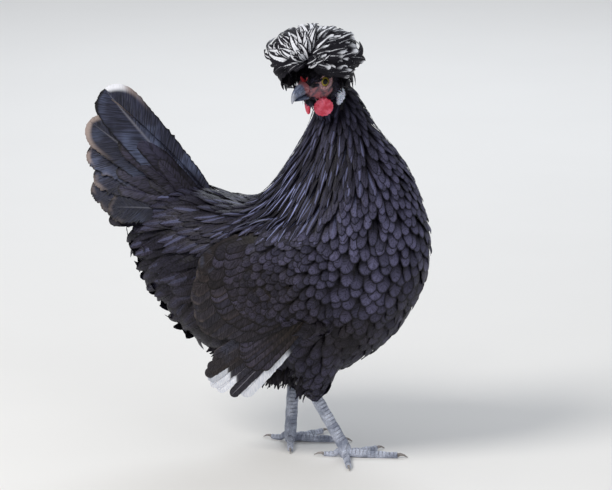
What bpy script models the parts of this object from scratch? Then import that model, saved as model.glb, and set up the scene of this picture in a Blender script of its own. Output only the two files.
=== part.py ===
"""A standing crested hen in black plumage with a mottled crest, head turned to its right, life size.

Metres, +Z up. The hen faces +X and its left side is +Y. The floor is z = 0, and the origin is on the floor
at the middle of the bounding box. Sizes are written in millimetres and scaled by MM. The body is drawn from
the point between its feet, and one empty carries it to the middle of the box. The head has a frame of its
own: origin between the eyes, +X to the beak's tip, +Y to the hen's left, +Z to the crown.
"""

import math
import random

import bmesh
import bpy
from mathutils import Matrix, Vector
from mathutils.bvhtree import BVHTree

MM = 0.001
GAP = 0.45  # how far a neighbour is swelled before it cuts a piece, which leaves about 0.3 mm
BOX_SHIFT = 52.7  # from the point between the feet to the middle of the box
SEED = 11

# Trunk sections from the nape to the rump: back x, z; front x, z; half width; middle y.
TRUNK = (
    (6, 341, 34, 342, 12, 4),
    (-3, 322, 48, 321, 19, 2),
    (-8, 301, 61, 300, 29, -1),
    (-21, 277, 77, 280, 40, 0),
    (-35, 253, 92, 254, 52, 0),
    (-48, 237, 103, 222, 62, 0),
    (-58, 231, 108, 188, 70, 0),
    (-66, 229, 97, 146, 74, 0),
    (-74, 229, 68, 104, 74, 0),
    (-82, 231, 22, 74, 70, 0),
    (-92, 233, -30, 66, 65, 0),
    (-104, 236, -76, 76, 59, 0),
    (-118, 238, -118, 102, 51, 0),
    (-134, 234, -148, 138, 40, 0),
    (-150, 222, -168, 168, 25, 0),
    (-162, 208, -176, 190, 9, 0),
)
TRUNK_SIDES = 22
NECK_END = 4.4  # the station, counted from the nape, where the neck meets the torso
PART_GAP = 0.01  # half the gap there, in stations

# Head: place in the body's frame, turn to the right and nod.
HEAD_PLACE = (13.0, -29.0, 348.0)
HEAD_TURN = -105.0
HEAD_NOD = 6.0
# Sections along the head's X: x, bottom, top, half width.
SKULL = (
    (-29, -12, 2, 4),
    (-25, -20, 9, 9.5),
    (-16, -24, 16, 13.0),
    (-5, -22, 18, 14.0),
    (5, -18.5, 15, 12.2),
    (14, -15.5, 8, 9.6),
    (21.6, -14.2, 3.2, 7.0),
)
UPPER_BEAK = (
    (22.1, -8.8, 3.0, 6.6),
    (28, -8.9, 1.4, 5.4),
    (33.5, -9.2, -0.7, 3.9),
    (38.5, -10.4, -4.0, 2.4),
    (41.0, -13.2, -9.0, 1.0),
)
LOWER_BEAK = (
    (22.1, -14.0, -9.4, 5.4),
    (28, -13.2, -9.5, 4.2),
    (33, -12.2, -10.0, 2.8),
    (36.4, -11.7, -11.0, 1.3),
)
MOUTH_GROOVE = ((19.5, 7.6, -9.2), (5.0, 2.2, 0.7))
NOSTRIL = ((26.6, 6.2, -2.4), (3.0, 1.8, 1.3))
EYE_PLACE = (4.0, 8.0, -0.2)
EYE_RADIUS = 5.7
EYE_AIM = (0.30, 0.95, 0.05)
LID_FORWARD = 3.1
LID_HALF_SIZES = (4.7, 5.4)
LID_TUBE = 1.15
WATTLE = ((6.0, 8.6, -24.0), (8.9, 1.7, 8.2), -45.0)  # place, half sizes, flare
EARLOBE = ((-16.5, 12.6, -19.5), (5.2, 2.6, 8.0), 8.0)
COMB = ((19.8, 3.2, 5.2), (3.2, 1.6, 3.6), 14.0)

# Crest: a core with rows of feathers that rise from it, arch over and hang at the rim.
CREST_CENTRE = (3.0, 0.0, 19.5)
CREST_REACH = (43.0, 43.0, 31.0)
CREST_CORE = (20.0, 20.0, 14.0)
CREST_ROWS = (
    # angle of the tips from the top, feathers, width, arch
    (16.0, 5, 12.0, 3.0),
    (38.0, 10, 13.5, 6.0),
    (58.0, 13, 14.0, 9.0),
    (78.0, 15, 14.5, 11.0),
    (97.0, 15, 14.5, 12.0),
    (115.0, 11, 13.5, 12.0),
)
CREST_FACE_GAP = 62.0  # half the angle at the front where the lowest row leaves the face free

# Wings. The outer face is a dome over the flank: apex x, z, y and its fall-off each way.
WING_APEX = (10.0, 160.0, 83.0)
WING_FALL = (0.0016, 0.0040, 0.0022, 0.0035)  # mm per mm squared: rearward, forward, down, up
WING_CLEAR = 3.6  # least height over the torso
WING_PAD = (
    (37, 166), (33, 190), (18, 210), (-4, 222), (-28, 222), (-50, 210),
    (-66, 190), (-60, 164), (-36, 146), (-8, 136), (18, 136), (34, 146),
)
WING_PAD_DEPTH = 46.0
SECONDARY_ROOTS = ((16, 148), (-16, 204))
SECONDARY_TIPS = ((-42, 121), (-70, 116), (-91, 125), (-91, 151), (-80, 179), (-60, 203))
SECONDARIES = 8
COVERTS = 6
PRIMARY_ROOTS = ((18, 156), (35, 143))
PRIMARY_TIPS = ((-84, 88), (-88, 76), (-85, 64), (-74, 57), (-57, 56))
PRIMARIES = 6
PRIMARY_COVERTS = 3
SHINGLE = 7.0  # tilt in degrees that lets each feather's lower edge lie over the next

# Tail: two fans of feathers that lean together at the top.
TAIL_ROOT = (-98.0, 5.0, 213.0)
TAIL_TOP_ANGLE = 48.0
TAIL_LOW_ANGLE = -3.0
TAIL_TOP_LENGTH = 144.0
TAIL_LOW_LENGTH = 103.0
TAIL_FEATHERS = 7
TAIL_WIDTH = 29.0
TAIL_SPREAD = (5.0, 34.0)  # sideways reach of the tips, top and bottom
TAIL_LEAN = 0.45  # how much each feather's outer face looks upwards
TAIL_CORE = ((-114.0, 0.0, 226.0), (40.0, 19.0, 24.0), 38.0)
TAIL_COVER_ROWS = ((0.68, 5, 27.0, 5.0), (0.46, 3, 30.0, 9.0))  # share of length, feathers, width, lift

# Legs: places of the foot's ball and the hock, and the feathered thigh's ends.
FEET = {"right": (35.0, -17.0), "left": (-30.0, 17.0)}
HOCKS = {"right": (-3.0, -25.0, 76.0), "left": (-28.0, 24.0, 84.0)}
THIGHS = {
    "right": ((14, -43, 132), 34, (8, -25, 52), 15),
    "left": ((-4, 43, 132), 34, (-28, 24, 44), 14),
}
SHANK_RADII = (4.6, 5.2)
SHANK_RINGS = 13
BALL_HEIGHT = 8.0
TOES = {"middle": (47.0, 3.7), "inner": (36.0, 3.3), "outer": (40.0, 3.3), "hind": (19.0, 2.9)}
TOE_HEADINGS = {
    "right": {"middle": 16.0, "inner": 58.0, "outer": -66.0, "hind": 188.0},
    "left": {"middle": 17.0, "inner": -70.0, "outer": 64.0, "hind": 170.0},
}
HIND_TOE_RISE = 8.5
CLAW_LENGTH = 10.0

# Feather outline: share of the length, share of the width.
BROAD = ((0.0, 0.3), (0.28, 0.86), (0.55, 1.0), (0.8, 0.95), (0.93, 0.72), (1.0, 0.32))
ROUND = ((0.0, 0.26), (0.4, 0.82), (0.72, 1.0), (0.91, 0.74), (1.0, 0.32))

LOOKS = {
    "black_feather": ((0.012, 0.011, 0.016), 0.45),
    "crest_feather": ((0.34, 0.34, 0.36), 0.6),
    "face_skin": ((0.30, 0.10, 0.11), 0.5),
    "red_skin": ((0.62, 0.07, 0.09), 0.4),
    "white_lobe": ((0.72, 0.74, 0.80), 0.55),
    "beak_horn": ((0.16, 0.18, 0.24), 0.35),
    "eye_iris": ((0.42, 0.28, 0.05), 0.05),
    "slate_scale": ((0.34, 0.36, 0.42), 0.55),
    "claw_horn": ((0.20, 0.19, 0.20), 0.35),
}

for old in list(bpy.data.objects):
    bpy.data.objects.remove(old, do_unlink=True)


def empty(name, place, parent=None, turn=(0, 0, 0)):
    """A frame that pieces are parented to. place in millimetres, turn in degrees."""
    made = bpy.data.objects.new(name, None)
    made.parent = parent
    made.location = Vector(place) * MM
    made.rotation_euler = [math.radians(angle) for angle in turn]
    bpy.context.scene.collection.objects.link(made)
    return made


body_frame = empty("body_frame", (BOX_SHIFT, 0, 0))
head_frame = empty("head_frame", HEAD_PLACE, body_frame, (0, HEAD_NOD, HEAD_TURN))


def paint(obj, look):
    """Gives the object its own material from LOOKS."""
    colour, roughness = LOOKS[look]
    made = bpy.data.materials.new(f"{obj.name}_{look}")
    made.use_nodes = True
    shader = made.node_tree.nodes["Principled BSDF"]
    shader.inputs["Base Color"].default_value = (*colour, 1)
    shader.inputs["Roughness"].default_value = roughness
    shader.inputs["Metallic"].default_value = 0.0
    obj.data.materials.clear()
    obj.data.materials.append(made)


def solid(name, points, faces, parent=None):
    """A closed mesh object from points in millimetres, with its faces turned outwards."""
    mesh = bpy.data.meshes.new(name)
    mesh.from_pydata([Vector(p) * MM for p in points], [], faces)
    bm = bmesh.new()
    bm.from_mesh(mesh)
    bmesh.ops.triangulate(bm, faces=bm.faces[:], quad_method="FIXED")
    bmesh.ops.recalc_face_normals(bm, faces=bm.faces[:])
    bm.to_mesh(mesh)
    bm.free()
    obj = bpy.data.objects.new(name, mesh)
    obj.parent = parent or body_frame
    bpy.context.scene.collection.objects.link(obj)
    return obj


def lofted(name, rings, parent=None, closed=False):
    """A tube through rings of equal count, with flat ends or joined end to end."""
    sides = len(rings[0])
    points = [p for ring in rings for p in ring]
    faces = []
    for r in range(len(rings) if closed else len(rings) - 1):
        low = r * sides
        high = (r + 1) % len(rings) * sides
        for k in range(sides):
            j = (k + 1) % sides
            faces.append((low + k, low + j, high + j, high + k))
    if not closed:
        last = len(points) - sides
        faces.append(tuple(range(sides))[::-1])
        faces.append(tuple(range(last, last + sides)))
    return solid(name, points, faces, parent)


def spline(rows, station):
    """The row at a fractional station, on a Catmull-Rom curve through the rows."""
    last = len(rows) - 1
    i = min(max(int(math.floor(station)), 0), last - 1)
    t = station - i
    around = (rows[max(i - 1, 0)], rows[i], rows[i + 1], rows[min(i + 2, last)])
    return [
        0.5 * (2 * b + (c - a) * t + (2 * a - 5 * b + 4 * c - d) * t * t + (3 * b - a - 3 * c + d) * t**3)
        for a, b, c, d in zip(*around)
    ]


def mixed(low, high, share):
    """The point at a share of the way from low to high."""
    return [a + (b - a) * share for a, b in zip(low, high)]


def trunk_rings(first, last, count):
    """Slanted oval rings of the trunk: angle 0 is the breast or belly line, 90 degrees the left side."""
    rings = []
    for r in range(count):
        row = spline(TRUNK, first + (last - first) * r / (count - 1))
        back_x, back_z, front_x, front_z, half_width, middle_y = row
        middle = Vector(((back_x + front_x) / 2, middle_y, (back_z + front_z) / 2))
        reach = Vector(((front_x - back_x) / 2, 0, (front_z - back_z) / 2))
        ring = []
        for k in range(TRUNK_SIDES):
            angle = 2 * math.pi * k / TRUNK_SIDES
            ring.append(middle + reach * math.cos(angle) + Vector((0, half_width * math.sin(angle), 0)))
        rings.append(ring)
    return rings


def section_rings(sections, count, sides):
    """Upright oval rings along X through rows of x, bottom, top, half width."""
    rings = []
    for r in range(count):
        x, bottom, top, half_width = spline(sections, (len(sections) - 1) * r / (count - 1))
        ring = []
        for k in range(sides):
            angle = 2 * math.pi * k / sides
            height = (bottom + top) / 2 + (top - bottom) / 2 * math.sin(angle)
            ring.append(Vector((x, half_width * math.cos(angle), height)))
        rings.append(ring)
    return rings


def ball(name, place, half_sizes, turn=(0, 0, 0), rings=8, sides=12, parent=None):
    """A closed ball of any three half sizes, turned by degrees about X, Y and Z."""
    spin = (
        Matrix.Rotation(math.radians(turn[2]), 3, "Z")
        @ Matrix.Rotation(math.radians(turn[1]), 3, "Y")
        @ Matrix.Rotation(math.radians(turn[0]), 3, "X")
    )
    points = [Vector((0, 0, half_sizes[2]))]
    for r in range(1, rings):
        polar = math.pi * r / rings
        for k in range(sides):
            around = 2 * math.pi * k / sides
            points.append(
                Vector(
                    (
                        half_sizes[0] * math.sin(polar) * math.cos(around),
                        half_sizes[1] * math.sin(polar) * math.sin(around),
                        half_sizes[2] * math.cos(polar),
                    )
                )
            )
    points.append(Vector((0, 0, -half_sizes[2])))
    bottom = 1 + (rings - 2) * sides
    faces = []
    for k in range(sides):
        j = (k + 1) % sides
        faces.append((0, 1 + k, 1 + j))
        for r in range(rings - 2):
            low = 1 + r * sides
            faces.append((low + k, low + sides + k, low + sides + j, low + j))
        faces.append((len(points) - 1, bottom + j, bottom + k))
    return solid(name, [Vector(place) + spin @ p for p in points], faces, parent)


def tube(name, path, radii, sides=10, up=(0, 0, 1)):
    """An oval tube along a path. radii holds (across, along up) for each point."""
    rings = []
    for i, point in enumerate(path):
        along = path[min(i + 1, len(path) - 1)] - path[max(i - 1, 0)]
        side = along.cross(Vector(up)).normalized()
        rise = side.cross(along).normalized()
        across, high = radii[i]
        ring = []
        for k in range(sides):
            angle = 2 * math.pi * k / sides
            ring.append(point + side * across * math.cos(angle) + rise * high * math.sin(angle))
        rings.append(ring)
    return lofted(name, rings)


def vane(path, facing, width, thickness, outline, parent=None, tilt=0.0):
    """One feather: a thin strip along path(share) whose outer face looks along facing(share).

    Both broad faces are split along the same diagonals, so that they never cross where the strip bends.
    tilt turns the strip about its length, in degrees.
    """
    points, faces = [], []
    for share, breadth in outline:
        point = Vector(path(share))
        along = Vector(path(min(share + 0.02, 1.0))) - Vector(path(max(share - 0.02, 0.0)))
        side = along.cross(Vector(facing(share))).normalized()
        outward = side.cross(along).normalized()
        lean = math.radians(tilt)
        side, outward = (
            side * math.cos(lean) + outward * math.sin(lean),
            outward * math.cos(lean) - side * math.sin(lean),
        )
        half = side * width / 2 * breadth
        skin = outward * thickness / 2 * (1 - 0.35 * share)
        points += [point + half + skin, point - half + skin, point - half - skin, point + half - skin]
    for r in range(len(outline) - 1):
        a, b, c, d = range(4 * r, 4 * r + 4)
        e, f, g, h = range(4 * r + 4, 4 * r + 8)
        faces += [(a, b, f), (a, f, e), (d, g, c), (d, h, g), (b, c, g), (b, g, f), (d, a, e), (d, e, h)]
    last = len(points) - 4
    faces += [(0, 2, 1), (0, 3, 2), (last, last + 1, last + 2), (last, last + 2, last + 3)]
    return solid("vane", points, faces, parent)


def arched(root, bend, tip):
    """A curve from root to tip, drawn towards bend."""
    root, bend, tip = Vector(root), Vector(bend), Vector(tip)
    return lambda s: root * (1 - s) ** 2 + bend * 2 * s * (1 - s) + tip * s * s


def applied(obj, modifier):
    """Makes the modifier's result the object's own mesh."""
    graph = bpy.context.evaluated_depsgraph_get()
    made = bpy.data.meshes.new_from_object(obj.evaluated_get(graph))
    obj.modifiers.remove(modifier)
    obj.data = made


def keep_largest(obj):
    """Drops every closed surface of the object but the one with the largest volume."""
    bm = bmesh.new()
    bm.from_mesh(obj.data)
    bmesh.ops.triangulate(bm, faces=bm.faces[:])
    left = set(bm.faces)
    islands = []
    while left:
        stack = [left.pop()]
        island = list(stack)
        while stack:
            for edge in stack.pop().edges:
                for face in edge.link_faces:
                    if face in left:
                        left.remove(face)
                        stack.append(face)
                        island.append(face)
        corners = [[vert.co for vert in face.verts] for face in island]
        islands.append((sum(a.dot(b.cross(c)) for a, b, c in corners), island))
    islands.sort(key=lambda pair: pair[0])
    drop = {vert for _, island in islands[:-1] for face in island for vert in face.verts}
    bmesh.ops.delete(bm, geom=list(drop), context="VERTS")
    bm.to_mesh(obj.data)
    bm.free()


def cut(obj, *neighbours, swell=GAP, solver="MANIFOLD"):
    """Cuts the object clear of each neighbour, grown by swell."""
    for neighbour in neighbours:
        cutter = neighbour.copy()
        cutter.data = neighbour.data.copy()
        bpy.context.scene.collection.objects.link(cutter)
        normals = [normal.vector.copy() for normal in cutter.data.vertex_normals]
        for vert, normal in zip(cutter.data.vertices, normals):
            vert.co += normal * swell * MM
        boolean = obj.modifiers.new("clear", "BOOLEAN")
        boolean.operation = "DIFFERENCE"
        boolean.solver = solver
        boolean.object = cutter
        applied(obj, boolean)
        bpy.data.objects.remove(cutter, do_unlink=True)
    keep_largest(obj)
    return obj


def joined(obj, pieces):
    """Unites the pieces with the object and removes them."""
    group = bpy.data.collections.new(f"{obj.name}_pieces")
    bpy.context.scene.collection.children.link(group)
    for piece in pieces:
        bpy.context.scene.collection.objects.unlink(piece)
        group.objects.link(piece)
    boolean = obj.modifiers.new("join", "BOOLEAN")
    boolean.operation = "UNION"
    boolean.solver = "MANIFOLD"
    boolean.operand_type = "COLLECTION"
    boolean.collection = group
    applied(obj, boolean)
    for piece in pieces:
        bpy.data.objects.remove(piece, do_unlink=True)
    bpy.data.collections.remove(group)
    keep_largest(obj)
    return obj


def on_side(values, side):
    """The same place on the left (1) or the right (-1)."""
    x, y, z = values
    return (x, y * side, z)


# Torso and neck: one lofted trunk, parted where the hackle meets the breast.
torso = lofted("torso", trunk_rings(NECK_END + PART_GAP, len(TRUNK) - 1, 20))
neck = lofted("neck", trunk_rings(0.0, NECK_END - PART_GAP, 10))
paint(torso, "black_feather")
paint(neck, "black_feather")

# Head: a skull with raised lids round two sockets, and the corners of the mouth cut in.
head = lofted("head", section_rings(SKULL, 11, 14), head_frame)
eyes, lids, grooves = {}, [], []
for label, side in (("left", 1), ("right", -1)):
    eyes[label] = ball(f"eye_{label}", on_side(EYE_PLACE, side), (EYE_RADIUS,) * 3, parent=head_frame)
    paint(eyes[label], "eye_iris")
    outward = Vector(on_side(EYE_AIM, side)).normalized()
    along = Vector((0, 0, 1)).cross(outward).normalized()
    rise = outward.cross(along)
    middle = Vector(on_side(EYE_PLACE, side)) + outward * LID_FORWARD
    rings = []
    for k in range(14):
        turn = 2 * math.pi * k / 14
        radial = along * math.cos(turn) * LID_HALF_SIZES[0] + rise * math.sin(turn) * LID_HALF_SIZES[1]
        ring = []
        for j in range(5):
            angle = 2 * math.pi * j / 5
            swing = radial.normalized() * math.cos(angle) + outward * math.sin(angle)
            ring.append(middle + radial + swing * LID_TUBE)
        rings.append(ring)
    lids.append(lofted(f"lid_{label}", rings, head_frame, closed=True))
    place, sizes = MOUTH_GROOVE
    grooves.append(ball(f"groove_{label}", on_side(place, side), sizes, (0, 0, -18 * side), parent=head_frame))
joined(head, lids)
cut(head, eyes["left"], eyes["right"])
cut(head, *grooves, swell=0.0)
for groove in grooves:
    bpy.data.objects.remove(groove, do_unlink=True)
cut(neck, head)
paint(head, "face_skin")

# Beak, with the nostrils cut into its sides.
upper_beak = lofted("beak_upper", section_rings(UPPER_BEAK, 9, 12), head_frame)
lower_beak = lofted("beak_lower", section_rings(LOWER_BEAK, 6, 12), head_frame)
place, sizes = NOSTRIL
holes = [ball("nostril", on_side(place, side), sizes, rings=6, sides=8, parent=head_frame) for side in (1, -1)]
cut(upper_beak, *holes, swell=0.0)
for hole in holes:
    bpy.data.objects.remove(hole, do_unlink=True)
paint(upper_beak, "beak_horn")
paint(lower_beak, "beak_horn")

# Wattles flared outwards, earlobes, and the two small horns of the comb.
face_parts = []
for label, side in (("left", 1), ("right", -1)):
    place, sizes, flare = WATTLE
    wattle = ball(f"wattle_{label}", on_side(place, side), sizes, (0, 0, flare * side), parent=head_frame)
    place, sizes, lean = EARLOBE
    earlobe = ball(f"earlobe_{label}", on_side(place, side), sizes, (0, lean, 0), parent=head_frame)
    place, sizes, lean = COMB
    horn = ball(f"comb_{label}", on_side(place, side), sizes, (-lean * side, 0, 0), 6, 10, head_frame)
    cut(wattle, head, lower_beak, neck)
    cut(earlobe, head, neck)
    cut(horn, head, upper_beak)
    paint(wattle, "red_skin")
    paint(earlobe, "white_lobe")
    paint(horn, "red_skin")
    face_parts += [wattle, earlobe, horn]
cut(bpy.data.objects["wattle_right"], bpy.data.objects["wattle_left"])

# Crest: feathers in rows round a core on the crown.
draw = random.Random(SEED)
crest = ball("crest", CREST_CENTRE, CREST_CORE, parent=head_frame)
crest_feathers = []
centre = Vector(CREST_CENTRE)
for row, (tip_angle, count, width, arch) in enumerate(CREST_ROWS):
    for k in range(count):
        around = 2 * math.pi * (k + 0.5 * (row % 2)) / count + draw.uniform(-0.05, 0.05)
        from_front = abs((math.degrees(around) + 180) % 360 - 180)
        if tip_angle > 100 and from_front < CREST_FACE_GAP:
            continue
        polar = math.radians(tip_angle + draw.uniform(-4, 4))
        root_polar = polar * 0.45
        way = Vector((math.cos(around), math.sin(around), 0))
        reach = draw.uniform(0.93, 1.0)
        out, up = math.sin(polar) * reach, math.cos(polar) * reach
        tip = centre + way * CREST_REACH[0] * out + Vector((0, 0, CREST_REACH[2] * up))
        inner_out, inner_up = math.sin(root_polar) * 0.55, math.cos(root_polar) * 0.55
        root = centre + way * CREST_CORE[0] * inner_out + Vector((0, 0, CREST_CORE[2] * inner_up))
        bend = (root + tip) / 2 + Vector((0, 0, arch)) + way * 4.0
        heart = centre - Vector((0, 0, 12))
        curve = arched(root, bend, tip)
        crest_feathers.append(
            vane(
                curve,
                lambda s, curve=curve, heart=heart: curve(s) - heart,
                width * draw.uniform(0.92, 1.06),
                1.2,
                ROUND,
                head_frame,
                tilt=draw.uniform(6, 12),
            )
        )
joined(crest, crest_feathers)
cut(crest, head, neck, upper_beak, eyes["left"], eyes["right"], *face_parts)
paint(crest, "crest_feather")

# Legs: feathered thigh, shank ringed with scutes, four toes and their claws.
thighs = {}
for label in ("right", "left"):
    top, top_radius, bottom, bottom_radius = THIGHS[label]
    rings = []
    for r in range(8):
        share = r / 7
        closing = math.sqrt(1 - 0.93 * max(0.0, (share - 0.6) / 0.4) ** 2)
        radius = (top_radius + (bottom_radius - top_radius) * share) * closing
        middle = Vector(mixed(top, bottom, share))
        rings.append(
            [
                middle + Vector((math.cos(2 * math.pi * k / 14), math.sin(2 * math.pi * k / 14), 0)) * radius
                for k in range(14)
            ]
        )
    thighs[label] = cut(lofted(f"thigh_{label}", rings), torso)
    paint(thighs[label], "black_feather")

for label, (foot_x, foot_y) in FEET.items():
    foot = Vector((foot_x, foot_y, BALL_HEIGHT))
    hock = Vector(HOCKS[label])
    path, radii = [], []
    for r in range(SHANK_RINGS):
        share = r / (SHANK_RINGS - 1)
        flare = 1 + 0.25 * max(0.0, (share - 0.8) / 0.2) ** 2
        ridge = 1.05 if r % 2 else 0.96
        path.append(hock.lerp(foot, share))
        radii.append((SHANK_RADII[0] * flare * ridge, SHANK_RADII[1] * ridge))
    path += [foot + Vector((0, 0, -3)), foot + Vector((0, 0, -BALL_HEIGHT - 0.6))]
    radii += [(SHANK_RADII[0] * 1.1, SHANK_RADII[1]), (SHANK_RADII[0] * 0.85, SHANK_RADII[1] * 0.8)]
    shank = cut(tube(f"shank_{label}", path, radii, 10, (1, 0, 0)), thighs[label])
    paint(shank, "slate_scale")
    made_toes = []
    for toe_name, (length, radius) in TOES.items():
        bearing = math.radians(TOE_HEADINGS[label][toe_name])
        way = Vector((math.cos(bearing), math.sin(bearing), 0))
        rise = HIND_TOE_RISE if toe_name == "hind" else 1.4
        path, radii = [], []
        for r in range(7):
            share = r / 6
            size = radius * (1 - 0.3 * share) * (1 + 0.07 * math.cos(share * 6 * math.pi))
            height = size * 0.9 + rise * max(0.0, 1 - share * 1.7) ** 1.5
            path.append(Vector((foot_x, foot_y, height)) + way * length * share)
            radii.append((size, size))
        toe = tube(f"toe_{label}_{toe_name}", path, radii, 8)
        cut(toe, shank, *made_toes)
        made_toes.append(toe)
        paint(toe, "slate_scale")
        claw_path, claw_radii = [], []
        for r in range(4):
            share = r / 3
            height = path[-1].z + 1.2 * math.sin(math.pi * share) - (path[-1].z - 0.7) * share**2
            claw_path.append(Vector((path[-1].x, path[-1].y, height)) + way * (CLAW_LENGTH * share - 0.6))
            size = radius * 0.52 * (1 - 0.78 * share)
            claw_radii.append((size * 0.85, size * 1.1))
        claw = cut(tube(f"claw_{label}_{toe_name}", claw_path, claw_radii, 6), toe)
        paint(claw, "claw_horn")

# Wings: a pad over the flank, then secondaries, primaries and two rows of coverts as separate vanes.
flank = BVHTree.FromObject(torso, bpy.context.evaluated_depsgraph_get())


def wing_face(x, z, side, lift):
    """The place on the wing's outer face above x, z, raised by lift."""
    apex_x, apex_z, apex_y = WING_APEX
    rearward, forward, down, up = WING_FALL
    fall_x = (rearward if x < apex_x else forward) * (x - apex_x) ** 2
    fall_z = (up if z > apex_z else down) * (z - apex_z) ** 2
    out = apex_y - fall_x - fall_z
    hit = flank.ray_cast(Vector((x, 300, z)) * MM, Vector((0, -1, 0)))[0]
    if hit is not None:
        out = max(out, hit.y / MM + WING_CLEAR)
    return Vector((x, side * (out + lift), z))


def wing_vane(root, bend, tip, side, width, lifts, outline=BROAD):
    """A feather on the wing's face, from root to tip in x and z. lifts are its heights at both ends."""
    curve = arched((root[0], 0, root[1]), (bend[0], 0, bend[1]), (tip[0], 0, tip[1]))

    def path(share):
        flat = curve(share)
        return wing_face(flat.x, flat.z, side, lifts[0] + (lifts[1] - lifts[0]) * min(1.0, share * 3))

    def facing(share):
        flat = curve(share)
        ahead = wing_face(flat.x + 4, flat.z, side, 0) - wing_face(flat.x - 4, flat.z, side, 0)
        above = wing_face(flat.x, flat.z + 4, side, 0) - wing_face(flat.x, flat.z - 4, side, 0)
        return ahead.cross(above) * -side

    return vane(path, facing, width, 0.9, outline, tilt=SHINGLE * side)


for label, side in (("left", 1), ("right", -1)):
    middle = [sum(p[i] for p in WING_PAD) / len(WING_PAD) for i in (0, 1)]
    count = len(WING_PAD)
    points = [wing_face(*middle, side, 0.4)]
    faces = []
    for share in (0.45, 0.8, 1.0):
        for corner in WING_PAD:
            points.append(wing_face(*mixed(middle, corner, share), side, 0.4 - 2.2 * share**4))
    points += [Vector((x, side * WING_PAD_DEPTH, z)) for x, z in WING_PAD]
    for k in range(count):
        j = (k + 1) % count
        faces.append((0, 1 + k, 1 + j))
        for low in range(1, 1 + 3 * count, count):
            faces.append((low + k, low + j, low + count + j, low + count + k))
    faces.append(tuple(range(1 + 3 * count, 1 + 4 * count)))
    wing = solid(f"wing_{label}", points, faces)
    feathers = []
    for k in range(SECONDARIES):
        share = k / (SECONDARIES - 1)
        root = mixed(*SECONDARY_ROOTS, share)
        tip = spline(SECONDARY_TIPS, share * (len(SECONDARY_TIPS) - 1))
        bend = mixed(root, tip, 0.55)
        bend[1] += 4 + 9 * share
        feathers.append(wing_vane(root, bend, tip, side, 23, (-1.6, 0.2)))
    for k in range(COVERTS):
        share = (k + 0.5) / COVERTS
        root = mixed(*SECONDARY_ROOTS, share)
        root = [root[0] + 6, root[1] + 4]
        tip = mixed(root, spline(SECONDARY_TIPS, share * (len(SECONDARY_TIPS) - 1)), 0.56)
        bend = mixed(root, tip, 0.5)
        bend[1] += 3 + 4 * share
        feathers.append(wing_vane(root, bend, tip, side, 21, (-1.0, 3.4), ROUND))
    for k in range(PRIMARIES):
        share = k / (PRIMARIES - 1)
        root = mixed(*PRIMARY_ROOTS, share)
        tip = spline(PRIMARY_TIPS, share * (len(PRIMARY_TIPS) - 1))
        bend = mixed(root, tip, 0.5)
        bend[1] -= 3
        feathers.append(wing_vane(root, bend, tip, side, 15, (-3.4, -3.4)))
    for k in range(PRIMARY_COVERTS):
        share = (k + 0.5) / PRIMARY_COVERTS
        root = mixed(*PRIMARY_ROOTS, share)
        tip = mixed(root, spline(PRIMARY_TIPS, share * (len(PRIMARY_TIPS) - 1)), 0.5)
        feathers.append(wing_vane(root, mixed(root, tip, 0.5), tip, side, 18, (-2.0, -0.6), ROUND))
    joined(wing, feathers)
    cut(wing, torso, neck, thighs[label])
    paint(wing, "black_feather")

# Tail: two fans of seven feathers and their coverts on one core.
place, sizes, lean = TAIL_CORE
tail = ball("tail", place, sizes, (0, lean, 0), 8, 14)
feathers = []
root = Vector(TAIL_ROOT)


def tail_vane(share, side, length_share, width, lift, outline):
    """One feather of a fan: share 0 is the top of the fan, 1 its lowest feather."""
    angle = math.radians(TAIL_TOP_ANGLE + (TAIL_LOW_ANGLE - TAIL_TOP_ANGLE) * share)
    length = (TAIL_TOP_LENGTH + (TAIL_LOW_LENGTH - TAIL_TOP_LENGTH) * share) * length_share
    out = (TAIL_SPREAD[0] + (TAIL_SPREAD[1] - TAIL_SPREAD[0]) * share) * (0.4 + 0.6 * length_share) + lift
    start = Vector((root.x, side * (root.y + 2 * share + lift * 0.7), root.z))
    end = Vector((root.x - length * math.cos(angle), side * out, root.z + length * math.sin(angle)))
    bend = (start + end) / 2 + Vector((-3, side * (5 + 4 * share), 5))
    facing = Vector((0.1, side, TAIL_LEAN))
    return vane(arched(start, bend, end), lambda s: facing, width, 1.0, outline)


for side in (1, -1):
    for k in range(TAIL_FEATHERS):
        feathers.append(tail_vane(k / (TAIL_FEATHERS - 1), side, 1.0, TAIL_WIDTH, 0.0, BROAD))
    for length_share, count, width, lift in TAIL_COVER_ROWS:
        for k in range(count):
            feathers.append(tail_vane((k + 0.3) / count, side, length_share, width, lift, ROUND))
joined(tail, feathers)
cut(tail, torso)
paint(tail, "black_feather")

# Small flats where toes, claws and shanks meet the floor, then smooth shading.
for obj in [o for o in bpy.context.scene.objects if o.type == "MESH"]:
    if obj.name.startswith(("toe_", "claw_", "shank_")):
        bm = bmesh.new()
        bm.from_mesh(obj.data)
        geometry = bm.verts[:] + bm.edges[:] + bm.faces[:]
        floor = bmesh.ops.bisect_plane(bm, geom=geometry, plane_co=(0, 0, 0), plane_no=(0, 0, -1), clear_outer=True)
        rim = [item for item in floor["geom_cut"] if isinstance(item, bmesh.types.BMEdge)]
        if rim:
            bmesh.ops.holes_fill(bm, edges=rim)
            bmesh.ops.triangulate(bm, faces=bm.faces[:])
            bmesh.ops.recalc_face_normals(bm, faces=bm.faces[:])
        bm.to_mesh(obj.data)
        bm.free()
    obj.data.shade_smooth()
    obj.data.set_sharp_from_angle(angle=math.radians(50))
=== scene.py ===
import itertools
import math

import bmesh
import bpy
import numpy as np
from mathutils import Matrix, Vector
from mathutils.bvhtree import BVHTree
from mathutils.kdtree import KDTree


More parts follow.
